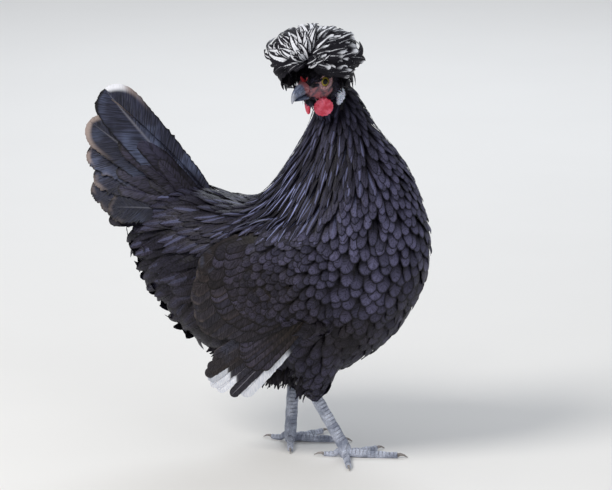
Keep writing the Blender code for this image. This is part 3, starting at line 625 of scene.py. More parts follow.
def feathered(name, shafts, outs, widths, pointed, columns, patches, marks, cup=0.10, ragged=0.04,
              splay=(66.0, 40.0), thickness=VANE_THICKNESS, patch=(PATCH, PATCH), roll=None, seed=1):
    """One object of many closed vanes, barb by barb from shaft to edge.

    shafts and outs are feathers x stations x 3, patches is each one's place on the unwrap and marks
    holds one number a feather, or one a station, for the finish to read.
    """
    shafts, outs = np.asarray(shafts), np.asarray(outs)
    count, stations = shafts.shape[:2]
    chooser = np.random.default_rng(seed)
    along = unit(np.gradient(shafts, axis=1))
    side = unit(np.cross(along, outs))
    up = np.cross(side, along)
    if roll is not None:
        turn = np.asarray(roll)[:, None, None]
        side, up = side * np.cos(turn) + up * np.sin(turn), up * np.cos(turn) - side * np.sin(turn)
    shares = np.linspace(0.0, 1.0, stations)
    slopes = np.tan(np.radians(splay[0] + (splay[1] - splay[0]) * shares**1.3))[None, :]
    halves = np.asarray(widths, dtype=float)[:, None] / 2
    long = np.linalg.norm(np.diff(shafts, axis=1), axis=2).sum(axis=1)[:, None]
    tips = np.clip(1.3 * halves / long, 0.05, 0.6)
    pointed = np.broadcast_to(np.asarray(pointed, dtype=float), (count,))[:, None]
    ends = np.broadcast_to(shares, (count, stations))
    for _ in range(12):  # where along the feather each barb ends, so that its tip lies on the outline
        outward = halves * outline(ends, pointed, tips)
        ends = 0.5 * ends + 0.5 * np.minimum(shares + outward / slopes / long, 1.0)
    offsets = np.linspace(-1.0, 1.0, 2 * columns + 1)
    rows = np.empty((count, stations, 2 * columns + 1, 3))
    nearness = np.empty((count, stations, 2 * columns + 1))
    for c, offset in enumerate(offsets):
        jitter = 1.0
        if abs(offset) == 1:
            jitter = 1.0 + np.reshape(ragged, (-1, 1)) * chooser.standard_normal((count, stations))
        out = outward * abs(offset) * jitter
        sideways = side * (math.copysign(1.0, offset) * out[..., None])
        forward = along * ((ends - shares) * long * abs(offset))[..., None]
        droop = up * (cup * out * abs(offset))[..., None]
        rows[:, :, c] = shafts + sideways + forward - droop
        t = np.clip((shares + (ends - shares) * abs(offset) - 1 + tips) / tips, 0, 1)
        nearness[:, :, c] = np.sqrt(offset**2 * (1 - t**2) + t**2)
    thin = 1.0 - 0.85 * np.abs(offsets)
    under = rows - up[:, :, None, :] * (thickness * thin)[None, None, :, None] - up[:, :, None, :] * 0.02
    wide = 2 * columns + 1
    grid = np.arange(stations * wide).reshape(stations, wide)
    top = np.stack([grid[:-1, :-1], grid[:-1, 1:], grid[1:, 1:], grid[1:, :-1]], -1).reshape(-1, 4)
    low = top[:, ::-1] + stations * wide
    rim = np.concatenate([grid[0, :-1], grid[:-1, -1], grid[-1, :0:-1], grid[:0:-1, 0]])
    nxt = np.roll(rim, -1)
    walls = np.stack([rim, rim + stations * wide, nxt + stations * wide, nxt], -1)
    one = np.concatenate([top, low, walls])
    each = 2 * stations * wide
    faces = (one[None] + (np.arange(count) * each)[:, None, None]).reshape(-1, 4)
    vertices = np.concatenate([rows.reshape(count, -1, 3), under.reshape(count, -1, 3)], axis=1)
    vertices = vertices.reshape(-1, 3)
    mesh = bpy.data.meshes.new(name)
    mesh.vertices.add(len(vertices))
    mesh.vertices.foreach_set("co", (vertices * MM).ravel())
    mesh.loops.add(faces.size)
    mesh.loops.foreach_set("vertex_index", faces.ravel().astype(np.int32))
    mesh.polygons.add(len(faces))
    mesh.polygons.foreach_set("loop_start", np.arange(0, faces.size, 4, dtype=np.int32))
    mesh.update(calc_edges=True)
    mesh.shade_smooth()
    mesh.set_sharp_from_angle(angle=math.radians(55.0))
    obj = linked(name, mesh)
    lengthwise = np.broadcast_to(shares[None, :, None], (count, stations, wide))
    crosswise = np.broadcast_to(offsets[None, None, :], (count, stations, wide))
    stored(obj, "along", np.concatenate([lengthwise.reshape(count, -1)] * 2, axis=1).ravel())
    stored(obj, "across", np.concatenate([crosswise.reshape(count, -1)] * 2, axis=1).ravel())
    stored(obj, "rim", np.concatenate([nearness.reshape(count, -1)] * 2, axis=1).ravel())
    for mark, values in marks.items():
        values = np.asarray(values, dtype=float)
        if values.ndim < 2:
            values = np.repeat(np.broadcast_to(values, (count,))[:, None], each, axis=1)
        else:
            values = np.concatenate([np.repeat(values, wide, axis=1)] * 2, axis=1)
        stored(obj, mark, values.ravel())
    spot = np.stack([lengthwise - 0.5, crosswise * 0.5], -1).reshape(count, -1, 2)
    spot = np.concatenate([spot, spot], axis=1) * np.array(patch) + patches[:, None, :]
    layer = mesh.uv_layers.new(name="OFBake")
    layer.data.foreach_set("uv", np.clip(spot.reshape(-1, 2)[faces.ravel()], 0, 1).ravel())
    return obj


barbs = bpy.data.node_groups.new("feather_barbs", "ShaderNodeTree")
barbs.interface.new_socket("Fineness", in_out="INPUT", socket_type="NodeSocketFloat")
for output in ("Streaks", "Shaft", "Height"):
    barbs.interface.new_socket(output, in_out="OUTPUT", socket_type="NodeSocketFloat")
vane = Nodes(barbs)
barb_in, barb_out = vane.node("NodeGroupInput"), vane.node("NodeGroupOutput")
spot = vane.node("ShaderNodeCombineXYZ")
vane.link(vane.times(vane.mark("along"), barb_in.outputs["Fineness"]), spot.inputs[0])
vane.link(vane.times(vane.mark("across"), 1.6), spot.inputs[1])
vane.link(vane.times(vane.mark("tone"), 97.0), spot.inputs[2])
streaks = vane.noise(1.0, 2.0, 0.5, spot.outputs[0])
shaft = vane.ramp(vane.math("ABSOLUTE", vane.mark("across")), 0.0, 0.10, reverse=True)
vane.link(streaks, barb_out.inputs["Streaks"])
vane.link(shaft, barb_out.inputs["Shaft"])
vane.link(vane.math("ADD", streaks, shaft), barb_out.inputs["Height"])

body_finish = look = Finish("body_plumage", 0.46, Specular_IOR_Level=0.14)
body_barbs = look.node("ShaderNodeGroup", node_tree=barbs, Fineness=38.0)
streak = body_barbs.outputs["Streaks"]
violet = look.mix(look.ramp(streak, 0.35, 0.7), *VIOLET_BLACKS)
brown = look.mix(look.ramp(streak, 0.35, 0.7), *BROWN_BLACKS)
tint = look.mix(look.mark("brown"), violet, brown)
# Painted sheen: the middle of each feather's shown part is painted a lighter violet, as much as the feather's
# painted sheen says.
middle = look.ramp(look.mark("rim"), 0.70, 1.0, reverse=True)
shown = look.ramp(look.mark("along"), 0.30, 0.85)
no_hackle = look.math("SUBTRACT", 1.0, look.mark("hackle"))
lit = look.times(middle, shown, look.mark("painted_sheen"), look.ramp(streak, 0.15, 0.62), no_hackle)
tint = look.mix(lit, tint, PAINTED_VIOLET_SHEEN)
# Painted glints: bluish-silver streaks painted near the hackles' shafts, where the painted sheen is high.
near_shaft = look.ramp(look.math("ABSOLUTE", look.mark("across")), 0.08, 0.50, reverse=True)
painted_glint = look.times(near_shaft, look.mark("hackle"), look.mark("painted_sheen"))
painted_glint = look.times(painted_glint, look.ramp(look.mark("tone"), 0.2, 1.0))
tint = look.mix(painted_glint, tint, HACKLE_PAINTED_GLINT)
# Painted shade: each feather is darkened towards its rim, where it meets the next.
painted_rim_shade = look.times(look.ramp(look.mark("rim"), 0.88, 1.0), RIM_SHADE_SHARE)
tint = look.mix(painted_rim_shade, tint, RIM_PAINTED_SHADE)
shade = look.mix(look.mark("tone"), *BODY_TONES)
look.colour(look.mix(1.0, tint, shade, "MULTIPLY"))
look.bump(body_barbs.outputs["Height"], 0.0004)


def under_wing(place):
    """Whether the flight feathers take over from the coat here, behind or below the wing's front."""
    x = place[0] - BIRD_X
    if abs(place[1]) < FLANK_Y:
        return False
    along_wing = (WING_FRONT[0] - x) * 0.9 + (WING_FRONT[1] - place[2]) * 0.43
    behind = along_wing > WING_COVER and x > WING_BACK_X and WING_BOTTOM_Z < place[2] < WING_TOP_Z
    below = PRIMARIES_FROM_X < x < PRIMARIES_TO_X and WING_BOTTOM_Z < place[2] < PRIMARIES_TOP_Z
    return behind or below


def body_spacing(places):
    values = guided(places)
    gap = values[:, 8] * np.sqrt(values[:, 3] * values[:, 4])
    in_head = head_space(places)
    on_face = (in_head[:, 0] > -7.0) & (in_head[:, 2] > -25.0) | (in_head[:, 2] > 9.0)
    for i, place in enumerate(places):
        if on_face[i] or under_wing(place) or place[2] < COAT_END_Z:
            gap[i] = 0.0
    return gap


roots = scattered(body_only, body_spacing, COAT_ROOTS_TRIED, COAT_SEED)
values = guided(roots)
lengths = values[:, 3] * draw.uniform(0.9, 1.1, len(roots))
widths = values[:, 4] * draw.uniform(1.0, 1.2, len(roots))
wander = 0.08 + 0.08 * np.clip((BIRD_X - 60.0 - roots[:, 0]) / 40.0, 0, 1)
ways = unit(values[:, :3] + wander[:, None] * draw.standard_normal((len(roots), 3)))
depths = np.array([coat_depth[body_ground.lookup.find(Vector(root))[1]] for root in roots])

depth_draw = draw.uniform(0.92, 1.04, len(roots))
looseness = np.clip((BIRD_X - 80.0 - roots[:, 0]) / 30.0, 0, 1) * draw.uniform(0.0, 9.0, len(roots))
neck_ease = 1 - 0.35 * np.clip((roots[:, 2] - 270.0) / 50.0, 0, 1)


def coat_heights(shares):
    reach = 1 - (1 - shares[None, :]) ** 1.5 - 0.10 * shares[None, :] ** 6
    loose = looseness[:, None] * shares[None, :] ** 2
    return 0.2 + (depths * depth_draw * neck_ease)[:, None] * reach + loose


shafts, outs = marched(body_ground, roots, ways, lengths, coat_heights, COAT_STATIONS, 0.04)
tones = draw.random(len(roots))
patches = on_unwrap(roots)
rolls = np.radians(draw.normal(0.0, 4.0, len(roots)))
high = roots[:, 2] > NECK_FROM_Z
rear = ~high & (roots[:, 0] - BIRD_X < REAR_FROM_X)
front = ~high & ~rear
for coat_name, chosen, slot_name in (
    ("neck_coat", high, "neck_feathers"),
    ("breast_coat", front, "body_feathers"),
    ("rear_coat", rear, "body_feathers"),
):
    coat = feathered(
        coat_name, shafts[chosen], outs[chosen], widths[chosen], values[chosen, 5], COAT_COLUMNS,
        patches[chosen],
        {
            # Each feather takes its painted sheen from the guides.
            "tone": tones[chosen], "brown": values[chosen, 6], "painted_sheen": values[chosen, 7],
            "hackle": np.clip(values[chosen, 5] * 1.3 - 0.3, 0, 1),
        },
        roll=rolls[chosen],
    )
    coat.data.materials.append(body_finish.material)
    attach(coat, "root")

# The fluff. Loose narrow down feathers hang from the belly and the vent and soften the lower edge of
# the body. They are rooted in the skin like the rest but don't follow it.
FLUFF_SPACING = 3.4
FLUFF_LENGTH, FLUFF_WIDTH = 17.0, 4.4
FLUFF_STATIONS = 9
FLUFF_ROOTS_TRIED = 20000
# Only a little painted sheen on the fluff.
FLUFF_PAINTED_SHEEN = 0.12


def fluff_spacing(places):
    x = places[:, 0] - BIRD_X
    low_belly = (places[:, 2] < 92.0) & (places[:, 2] > 66.0) & (x > -62.0) & (x < 8.0)
    vent = (places[:, 2] < 100.0) & (places[:, 2] >= 70.0) & (x <= -55.0) & (x > -88.0)
    return np.where(low_belly | vent, FLUFF_SPACING, 0.0)


fluff_draw = np.random.default_rng(17)
fluff_roots = scattered(body_only, fluff_spacing, FLUFF_ROOTS_TRIED, 18)
fluff_count = len(fluff_roots)
fluff_back = np.clip((BIRD_X - 40.0 - fluff_roots[:, 0]) / 30.0, 0, 1)
fluff_ways = np.stack([-0.3 - 0.5 * fluff_back, np.zeros(fluff_count), -0.95 + 0.35 * fluff_back], -1)
fluff_ways = unit(fluff_ways + 0.16 * fluff_draw.standard_normal((fluff_count, 3)))
fluff_outs = np.array([body_ground.outward(Vector(root)) for root in fluff_roots])
fluff_lengths = FLUFF_LENGTH * fluff_draw.uniform(0.7, 1.1, fluff_count)
fluff_lengths *= np.clip((fluff_roots[:, 2] - 30) / 45, 0.55, 1)
fluff_lengths *= 1 - 0.45 * fluff_back
line = np.linspace(0, 1, FLUFF_STATIONS)[None, :, None]
fluff_shafts = fluff_roots[:, None, :] + fluff_ways[:, None, :] * fluff_lengths[:, None, None] * line
fluff_shafts = fluff_shafts + fluff_outs[:, None, :] * (0.2 + 5.0 * np.sin(line * 2.2))
fluff = feathered(
    "belly_fluff", fluff_shafts, np.repeat(fluff_outs[:, None, :], FLUFF_STATIONS, axis=1),
    FLUFF_WIDTH * fluff_draw.uniform(0.7, 1.2, fluff_count), 0.9, 1, on_unwrap(fluff_roots),
    {
        "tone": fluff_draw.random(fluff_count) * 0.7, "brown": fluff_draw.uniform(0.2, 0.7, fluff_count),
        "painted_sheen": FLUFF_PAINTED_SHEEN,
    },
    ragged=0.20, splay=(55.0, 24.0), roll=np.radians(fluff_draw.normal(0, 14, fluff_count)), seed=19,
)
fluff.data.materials.append(body_finish.material)
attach(fluff, "root")

# The head's feathers. Small dark feathers cover brow, cheek, throat and nape round the bare face. They are
# the smallest of all and lie backwards from the beak, and upwards into the crest above the eyes.
FACE_ROOTS_TRIED = 9000
FACE_SPACING = 1.25
FACE_LENGTH, FACE_WIDTH = 6.4, 2.3
FACE_STATIONS = 5
FACE_BROWN = 0.2
face_draw = np.random.default_rng(11)


def face_spacing(places):
    in_head = head_space(places)
    hidden = (in_head[:, 2] > 17.0) | (in_head[:, 0] > 20.5)
    bare = bare_parts(in_head)["bare"]
    return np.where(hidden | (bare > 0.4), 0.0, FACE_SPACING)


face_roots = scattered(face_only, face_spacing, FACE_ROOTS_TRIED, 12)
in_head = head_space(face_roots)
upward = np.clip((in_head[:, 2] - 1.0) / 6.0, 0, 1)
downward = np.clip((-8.0 - in_head[:, 2]) / 8.0, 0, 1)
sideward = 0.15 * np.sign(in_head[:, 1]) * upward
face_ways = np.stack([-0.9 + 0.4 * downward, sideward, 0.8 * upward - 0.9 * downward - 0.1], -1)
face_ways = face_ways + 0.15 * face_draw.standard_normal(face_ways.shape)
face_ways = unit(face_ways @ np.array(HEAD_PLACE)[:3, :3].T)
throat = downward * np.clip((7.0 - np.abs(in_head[:, 1] - 1.0)) / 3.0, 0, 1)
throat *= np.clip((10.5 - in_head[:, 0]) / 3.0, 0, 1)
chin = downward * np.clip((5.0 - np.abs(in_head[:, 1])) / 2.0, 0, 1)
chin *= np.clip((in_head[:, 0] - 8.0) / 3.0, 0, 1)
near_eye = near_ball(in_head * (1, 0, 1), EYE * (1, 0, 1), (12.0, 8.0, 10.0), 0.3)
face_lengths = FACE_LENGTH * face_draw.uniform(0.75, 1.2, len(face_roots)) * (1 + 0.5 * upward + 2.6 * throat)
face_lengths *= 1 - 0.45 * near_eye


def face_heights(shares):
    return 0.1 + (0.9 + 1.4 * upward)[:, None] * shares[None, :] ** 0.8


face_shafts, face_outs = marched(
    face_ground, face_roots, face_ways, face_lengths, face_heights, FACE_STATIONS, 0.4
)
hang = np.array(HEAD_PLACE)[:3, :3] @ unit(np.array((-0.2, 0.0, -0.98)))
fall = np.linspace(0, 1, FACE_STATIONS)[None, :, None] * face_lengths[:, None, None]
hanging = face_roots[:, None, :] + (hang + 0.10 * face_draw.standard_normal((len(face_roots), 1, 3))) * fall
face_shafts = np.where((np.maximum(throat, chin) > 0.3)[:, None, None], hanging, face_shafts)
face_widths = FACE_WIDTH * face_draw.uniform(0.8, 1.2, len(face_roots)) * (1 + 0.6 * throat)
face_coat = feathered(
    "face_coat", face_shafts, face_outs, face_widths, 0.5, 1, on_unwrap(face_roots),
    {
        "tone": face_draw.random(len(face_roots)), "brown": FACE_BROWN,
        # Painted sheen on the face feathers, none on those that rise into the crest.
        "painted_sheen": np.clip(0.5 - upward, 0, 1) * 0.9,
    },
    thickness=0.12, roll=np.radians(face_draw.normal(0, 14, len(face_roots))), seed=13,
)
face_coat.data.materials.append(body_finish.material)
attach(face_coat, "root")

# The wings. Flight feathers lie folded along the flank, under rows of coverts: thirteen brown-black
# secondaries above and nine primaries below them. Four of the five outer primaries have white tips,
# and the outermost is white along one web too.
WING_APEX = (10.0, 160.0, 83.0)
WING_FALL = (0.0016, 0.0040, 0.0022, 0.0035)  # how fast it curves away rearward, forward, down and up
WING_CLEAR = 3.6
SECONDARY_ROOTS = ((16.0, 148.0), (-14.0, 208.0))
SECONDARY_TIPS = ((-44, 119), (-66, 114), (-84, 117), (-92, 130), (-93, 150), (-84, 174))
SECONDARY_BULGE = (2.0, 20.0)  # of the lowest and the highest one
PRIMARY_ROOTS = ((14.0, 158.0), (28.0, 149.0))
PRIMARY_TIPS = ((-74, 94), (-82, 82), (-86, 71), (-83, 62), (-74, 55), (-51, 56))
PRIMARY_BULGE = -3.0
WING_TIP_SCATTER = 1.2
WHITE_PRIMARIES = 5  # counted from the outermost
DARK_PRIMARY = 2  # the one of them without white
WHITE_FROM = (0.75, 0.78)  # of their length
OUTER_PRIMARY_WIDTH = 1.35
WING_ROWS = (
    # name, feathers, width, share of the full length, lifts at root and tip, pointedness, stations
    ("secondary", 13, 19.0, 1.0, (-2.6, -0.6), 0.0, 44),
    ("covert", 14, 15.0, 0.72, (-2.6, 0.8), 0.0, 26),
    ("median", 16, 12.0, 0.54, (-2.6, 1.8), 0.0, 20),
    ("primary", 9, 12.0, 1.0, (-7.5, -3.4), 0.2, 54),
    ("primary_covert", 9, 12.0, 0.62, (-6.5, -1.4), 0.1, 26),
)
WING_SHINGLE = 7.0
FLIGHT_BLACKS = ((0.010, 0.011, 0.018), (0.034, 0.037, 0.066))
FLIGHT_BROWNS = ((0.009, 0.0065, 0.007), (0.030, 0.023, 0.024))
QUILL_GREY = (0.30, 0.30, 0.34)
PAINTED_BLUE_SHEEN = (0.085, 0.105, 0.175)
GAP_PAINTED_SHADE = (0.003, 0.003, 0.004)
WORN_EDGES = ((0.36, 0.29, 0.26), (0.78, 0.80, 0.84))  # tan, and bleached white
TIP_WHITES = ((0.58, 0.62, 0.70), (0.80, 0.82, 0.86))
FLIGHT_TONES = ((0.7, 0.7, 0.72), (1.25, 1.22, 1.22))
flank_tree = tree_of([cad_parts["torso"].data])


def curve_at(knots, share):
    """A smooth line through the knots, at a share of the way from the first to the last."""
    knots = np.asarray(knots, dtype=float)
    station = np.clip(share, 0.0, 1.0) * (len(knots) - 1)
    i = int(min(station, len(knots) - 2))
    t = station - i
    before, after = knots[max(i - 1, 0)], knots[min(i + 2, len(knots) - 1)]
    a, b = knots[i], knots[i + 1]
    slope_a, slope_b = (b - before) / 2, (after - a) / 2
    cube, square = t**3, t**2
    return (
        a * (2 * cube - 3 * square + 1) + b * (3 * square - 2 * cube)
        + slope_a * (cube - 2 * square + t) + slope_b * (cube - square)
    )


def wing_face(x, z, side, lift):
    """The place on the wing's outer face above x, z, raised by lift."""
    apex_x, apex_z, apex_y = WING_APEX
    rearward, forward, down, up = WING_FALL
    out = apex_y - (rearward if x < apex_x else forward) * (x - apex_x) ** 2
    out -= (up if z > apex_z else down) * (z - apex_z) ** 2
    hit = flank_tree.ray_cast(Vector((x + BIRD_X, 300.0, z)), Vector((0, -1, 0)))[0]
    if hit is not None:
        out = max(out, hit.y + WING_CLEAR)
    return np.array((x + BIRD_X, side * (out + lift), z))


def on_wing(root, bend, tip, side, lifts, stations):
    """Shaft and outward directions of a feather that lies on the wing's face."""
    shaft, outs = np.empty((stations, 3)), np.empty((stations, 3))
    for k, share in enumerate(np.linspace(0.0, 1.0, stations)):
        x, z = root * (1 - share) ** 2 + bend * 2 * share * (1 - share) + tip * share**2
        lift = lifts[0] + (lifts[1] - lifts[0]) * min(1.0, share * 3)
        shaft[k] = wing_face(x, z, side, lift)
        ahead = wing_face(x + 6, z, side, 0) - wing_face(x - 6, z, side, 0)
        above = wing_face(x, z + 6, side, 0) - wing_face(x, z - 6, side, 0)
        outs[k] = np.cross(ahead, above) * -side
    for _ in range(3):
        shaft[1:-1] = 0.25 * shaft[:-2] + 0.5 * shaft[1:-1] + 0.25 * shaft[2:]
        outs[1:-1] = 0.25 * outs[:-2] + 0.5 * outs[1:-1] + 0.25 * outs[2:]
    return shaft, unit(outs)


flight_finish = look = Finish("flight_plumage", 0.42, Specular_IOR_Level=0.14)
flight_barbs = look.node("ShaderNodeGroup", node_tree=barbs, Fineness=110.0)
streak = flight_barbs.outputs["Streaks"]
dark = look.mix(look.ramp(streak, 0.3, 0.75), *FLIGHT_BLACKS)
earth = look.mix(look.ramp(streak, 0.3, 0.75), *FLIGHT_BROWNS)
tint = look.mix(look.mark("brown"), dark, earth)
tint = look.mix(look.times(flight_barbs.outputs["Shaft"], look.mark("quill")), tint, QUILL_GREY)
# Painted sheen: blue streaks painted on the vanes, as much as the feather's painted sheen says.
painted_sheen_mask = look.times(look.ramp(look.noise(38.0, 2.0), 0.50, 0.72), look.mark("painted_sheen"))
painted_sheen_mask = look.times(painted_sheen_mask, look.ramp(streak, 0.2, 0.7))
tint = look.mix(painted_sheen_mask, tint, PAINTED_BLUE_SHEEN)
# Painted shade at each feather's rim, where it meets the next.
tint = look.mix(look.ramp(look.mark("rim"), 0.90, 1.0), tint, GAP_PAINTED_SHADE)
patchy = look.math("MAXIMUM", look.ramp(look.noise(90.0, 2.0), 0.38, 0.62), look.mark("band"))
worn = look.times(look.ramp(look.mark("rim"), 0.74, 0.94), look.ramp(look.mark("along"), 0.55, 0.9), patchy)
white_side = look.times(look.mark("across"), look.mark("pale"))
one_side = look.math("ABSOLUTE", look.mark("pale"))
both_sides = look.math("SUBTRACT", 1.0, one_side)
worn = look.times(worn, look.math("MAXIMUM", look.ramp(white_side, 0.1, 0.4), both_sides), look.mark("tan"))
bleached = look.times(look.ramp(look.mark("along"), 0.74, 0.84), one_side)
tint = look.mix(worn, tint, look.mix(bleached, *WORN_EDGES))
white = look.mix(look.ramp(streak, 0.3, 0.7), *TIP_WHITES)
web = look.ramp(look.times(look.mark("across"), look.mark("white_web")), 0.0, 0.08)
web = look.times(web, look.ramp(look.mark("along"), 0.3, 0.4))
tint = look.mix(look.math("MAXIMUM", look.mark("white"), web), tint, white)
tone = look.mix(look.mark("tone"), *FLIGHT_TONES)
look.colour(look.mix(1.0, tint, tone, "MULTIPLY"))
look.bump(flight_barbs.outputs["Height"], 0.0006)


def soft_step(values, low, high):
    t = np.clip((values - low) / (high - low), 0.0, 1.0)
    return t * t * (3 - 2 * t)


def strip_places(count):
    """Places and size of so many separate patches that fill the whole unwrap, for the large feathers."""
    across = math.ceil(math.sqrt(count))
    spots = [((k % across + 0.5) / across, (k // across + 0.5) / across) for k in range(count)]
    return np.array(spots), (0.92 / across, 0.92 / across)


for label, side in (("left", 1), ("right", -1)):
    chooser = np.random.default_rng(31 + side)
    for row_name, count, width, reach, lifts, pointed, stations in WING_ROWS:
        wing_shafts, wing_outs, whites = [], [], []
        lower = row_name.startswith("primary")
        for k in range(count):
            share = k / (count - 1) if reach == 1.0 else (k + 0.5) / count
            root_line = PRIMARY_ROOTS if lower else SECONDARY_ROOTS
            tip_line = PRIMARY_TIPS if lower else SECONDARY_TIPS
            root = np.array(root_line[0]) * (1 - share) + np.array(root_line[1]) * share
            tip = curve_at(tip_line, share) + chooser.normal(0, WING_TIP_SCATTER, 2)
            across_line = np.array((tip[1] - root[1], root[0] - tip[0])) / np.linalg.norm(tip - root)
            bulge = SECONDARY_BULGE[0] * (1 - share) + SECONDARY_BULGE[1] * share
            if lower:
                bulge = PRIMARY_BULGE
            bend = root * 0.45 + tip * 0.55 + across_line * bulge
            if reach < 1.0:
                tip = root * (1 - reach) ** 2 + bend * 2 * reach * (1 - reach) + tip * reach**2
                bend = root * (1 - reach) + bend * reach
            shaft, out = on_wing(root, bend, tip, side, lifts, stations)
            wing_shafts.append(shaft)
            wing_outs.append(out)
            from_outermost = count - k
            has_white = row_name == "primary" and from_outermost <= WHITE_PRIMARIES
            has_white = has_white and from_outermost != DARK_PRIMARY
            whites.append(soft_step(np.linspace(0, 1, stations), *WHITE_FROM) * has_white)
        patches_here, patch_size = strip_places(count)
        row_widths = width * chooser.uniform(0.94, 1.06, count)
        if row_name == "primary":
            row_widths[-1] *= OUTER_PRIMARY_WIDTH
        outermost = (np.arange(count) == count - 1) * (row_name == "primary")
        marks = {
            "tone": chooser.random(count),
            "brown": chooser.uniform(0.5, 1.0, count),
            "quill": soft_step(np.arange(count), 3.0, 6.0) * (0.8 if row_name == "primary" else 0.1),
            # Painted sheen on the secondaries, growing towards the highest ones.
            "painted_sheen": soft_step(np.arange(count) / count, 0.45, 0.9),
            "white": whites,
            "white_web": outermost * float(side),
        }
        # The other rows get a little painted sheen at random.
        if row_name != "secondary":
            marks["painted_sheen"] = chooser.uniform(0.05, 0.3, count)
        marks["tan"] = chooser.uniform(0.04, 0.12, count)
        wing_row = feathered(
            f"{row_name}_feathers_{label}", wing_shafts, wing_outs, row_widths, pointed, 5, patches_here,
            marks,
            cup=0.12, ragged=0.03, splay=(58.0, 34.0), thickness=0.5, patch=patch_size,
            roll=np.full(count, math.radians(WING_SHINGLE) * side), seed=50 + side,
        )
        wing_finish = flight_finish if reach == 1.0 else body_finish
        wing_row.data.materials.append(wing_finish.material)
        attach(wing_row, "root")
        if row_name == "secondary":
            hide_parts(f"wing_{label}")

# The tail. Two fans of seven broad main feathers lean together like a tent, and rows of smaller coverts
# hide their quills. The old edges are worn tan, and those of the topmost feather are bleached white
# near its tip, along one web.
TAIL_ROOT = (-98.0, 5.0, 213.0)
TAIL_FAN = (
    # angle in degrees and length of each main feather, from the top
    (45.5, 148.0), (33.0, 139.0), (25.0, 126.0), (17.0, 112.0), (11.0, 110.0), (7.0, 98.0), (2.0, 88.0),
)
TAIL_LENGTHS = (144.0, 103.0)  # full lengths, from which the coverts' are taken
TAIL_SPREAD = (5.0, 34.0)
TAIL_FACING = (0.1, 1.0, 0.45)
TAIL_SHINGLE = 12.0
FAR_SIDE_LOWER = 6.0  # degrees, as the two fans don't quite meet
TOP_WIDTHS = (1.28, 1.06)
OTHER_WIDTH = 0.9
TAIL_ROWS = (
    # name, feathers a side, width, share of the length, lift, pointedness, stations, first and last angle
    ("main_tail", 7, 34.0, 1.0, 0.0, 0.0, 70, None),
    ("long_cover", 10, 21.0, 0.78, 3.0, 0.2, 34, (44.0, -8.0)),
    ("middle_cover", 12, 18.0, 0.62, 6.0, 0.3, 28, (42.0, -16.0)),
    ("short_cover", 12, 16.0, 0.46, 9.0, 0.4, 22, (38.0, -30.0)),
    ("low_cover", 9, 16.0, 0.60, 2.0, 0.6, 26, (-6.0, -58.0)),
)
for row_name, count, width, reach, lift, pointed, stations, angles in TAIL_ROWS:
    chooser = np.random.default_rng(stations)
    tail_shafts, tail_outs, tans, pales, tail_widths = [], [], [], [], []
    main_row = reach == 1.0
    t = np.linspace(0, 1, stations)[:, None]
    for side in (1, -1):
        for k in range(count):
            share = k / (count - 1) if main_row else (k + 0.3) / count
            out = (TAIL_SPREAD[0] + (TAIL_SPREAD[1] - TAIL_SPREAD[0]) * share) * (0.4 + 0.6 * reach) + lift
            x, y, z = TAIL_ROOT
            if main_row:
                angle = math.radians(TAIL_FAN[k][0] - (FAR_SIDE_LOWER if side == 1 else 0.0))
                angle += math.radians(chooser.normal(0, 0.6))
                length = TAIL_FAN[k][1]
            else:
                angle = math.radians(angles[0] + (angles[1] - angles[0]) * share + chooser.normal(0, 4.0))
                length = (TAIL_LENGTHS[0] + (TAIL_LENGTHS[1] - TAIL_LENGTHS[0]) * share) * reach
                length *= chooser.uniform(0.88, 1.06)
            if row_name == "low_cover":
                z -= 30.0 * share
                length *= 1.0 - 0.3 * share
                out = TAIL_SPREAD[1] * (0.9 - 0.4 * share)
            start = np.array((x, side * (y + 2 * share + lift * 0.7), z))
            end = np.array((x - length * math.cos(angle), side * out, z + length * math.sin(angle)))
            bend = (start + end) / 2 + np.array((-3, side * (5 + 4 * share), 5))
            shaft = start * (1 - t) ** 2 + bend * 2 * t * (1 - t) + end * t**2
            shaft[:, 0] += BIRD_X
            tail_shafts.append(shaft)
            facing = unit(np.array((TAIL_FACING[0], side * TAIL_FACING[1], TAIL_FACING[2])))
            tail_outs.append(np.tile(facing, (stations, 1)))
            broader = TOP_WIDTHS[k] if main_row and k < 2 else OTHER_WIDTH
            tail_widths.append(width * broader * chooser.uniform(0.95, 1.05))
            pales.append(-side if main_row and k == 0 else 0.0)
            worn_share = (0.2, 0.7) if main_row else (0.0, 0.15)
            tans.append(1.0 if main_row and k < 2 else chooser.uniform(*worn_share))
    patches_here, patch_size = strip_places(2 * count)
    top_two = np.tile(np.arange(count) < 2, 2)
    # Painted sheen, more on the main feathers than on the coverts.
    least_painted_sheen, most_painted_sheen = (0.3, 0.8) if main_row else (0.1, 0.35)
    tail_row = feathered(
        f"{row_name}_feathers", tail_shafts, tail_outs, tail_widths, pointed, 6, patches_here,
        {
            "tone": chooser.random(2 * count), "brown": chooser.uniform(0.0, 0.2, 2 * count),
            "quill": 0.35 if main_row else 0.05, "tan": tans, "pale": pales,
            "band": top_two * float(main_row), "painted_sheen": chooser.uniform(least_painted_sheen, most_painted_sheen, 2 * count),
        },
        cup=0.12, ragged=np.where(top_two, 0.018, 0.06), splay=(58.0, 36.0), thickness=0.45, patch=patch_size,
        roll=np.repeat((1.0, -1.0), count) * math.radians(TAIL_SHINGLE), seed=stations,
    )
    tail_finish = flight_finish if main_row else body_finish
    tail_row.data.materials.append(tail_finish.material)
    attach(tail_row, "root")
    if main_row:
        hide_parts("tail")

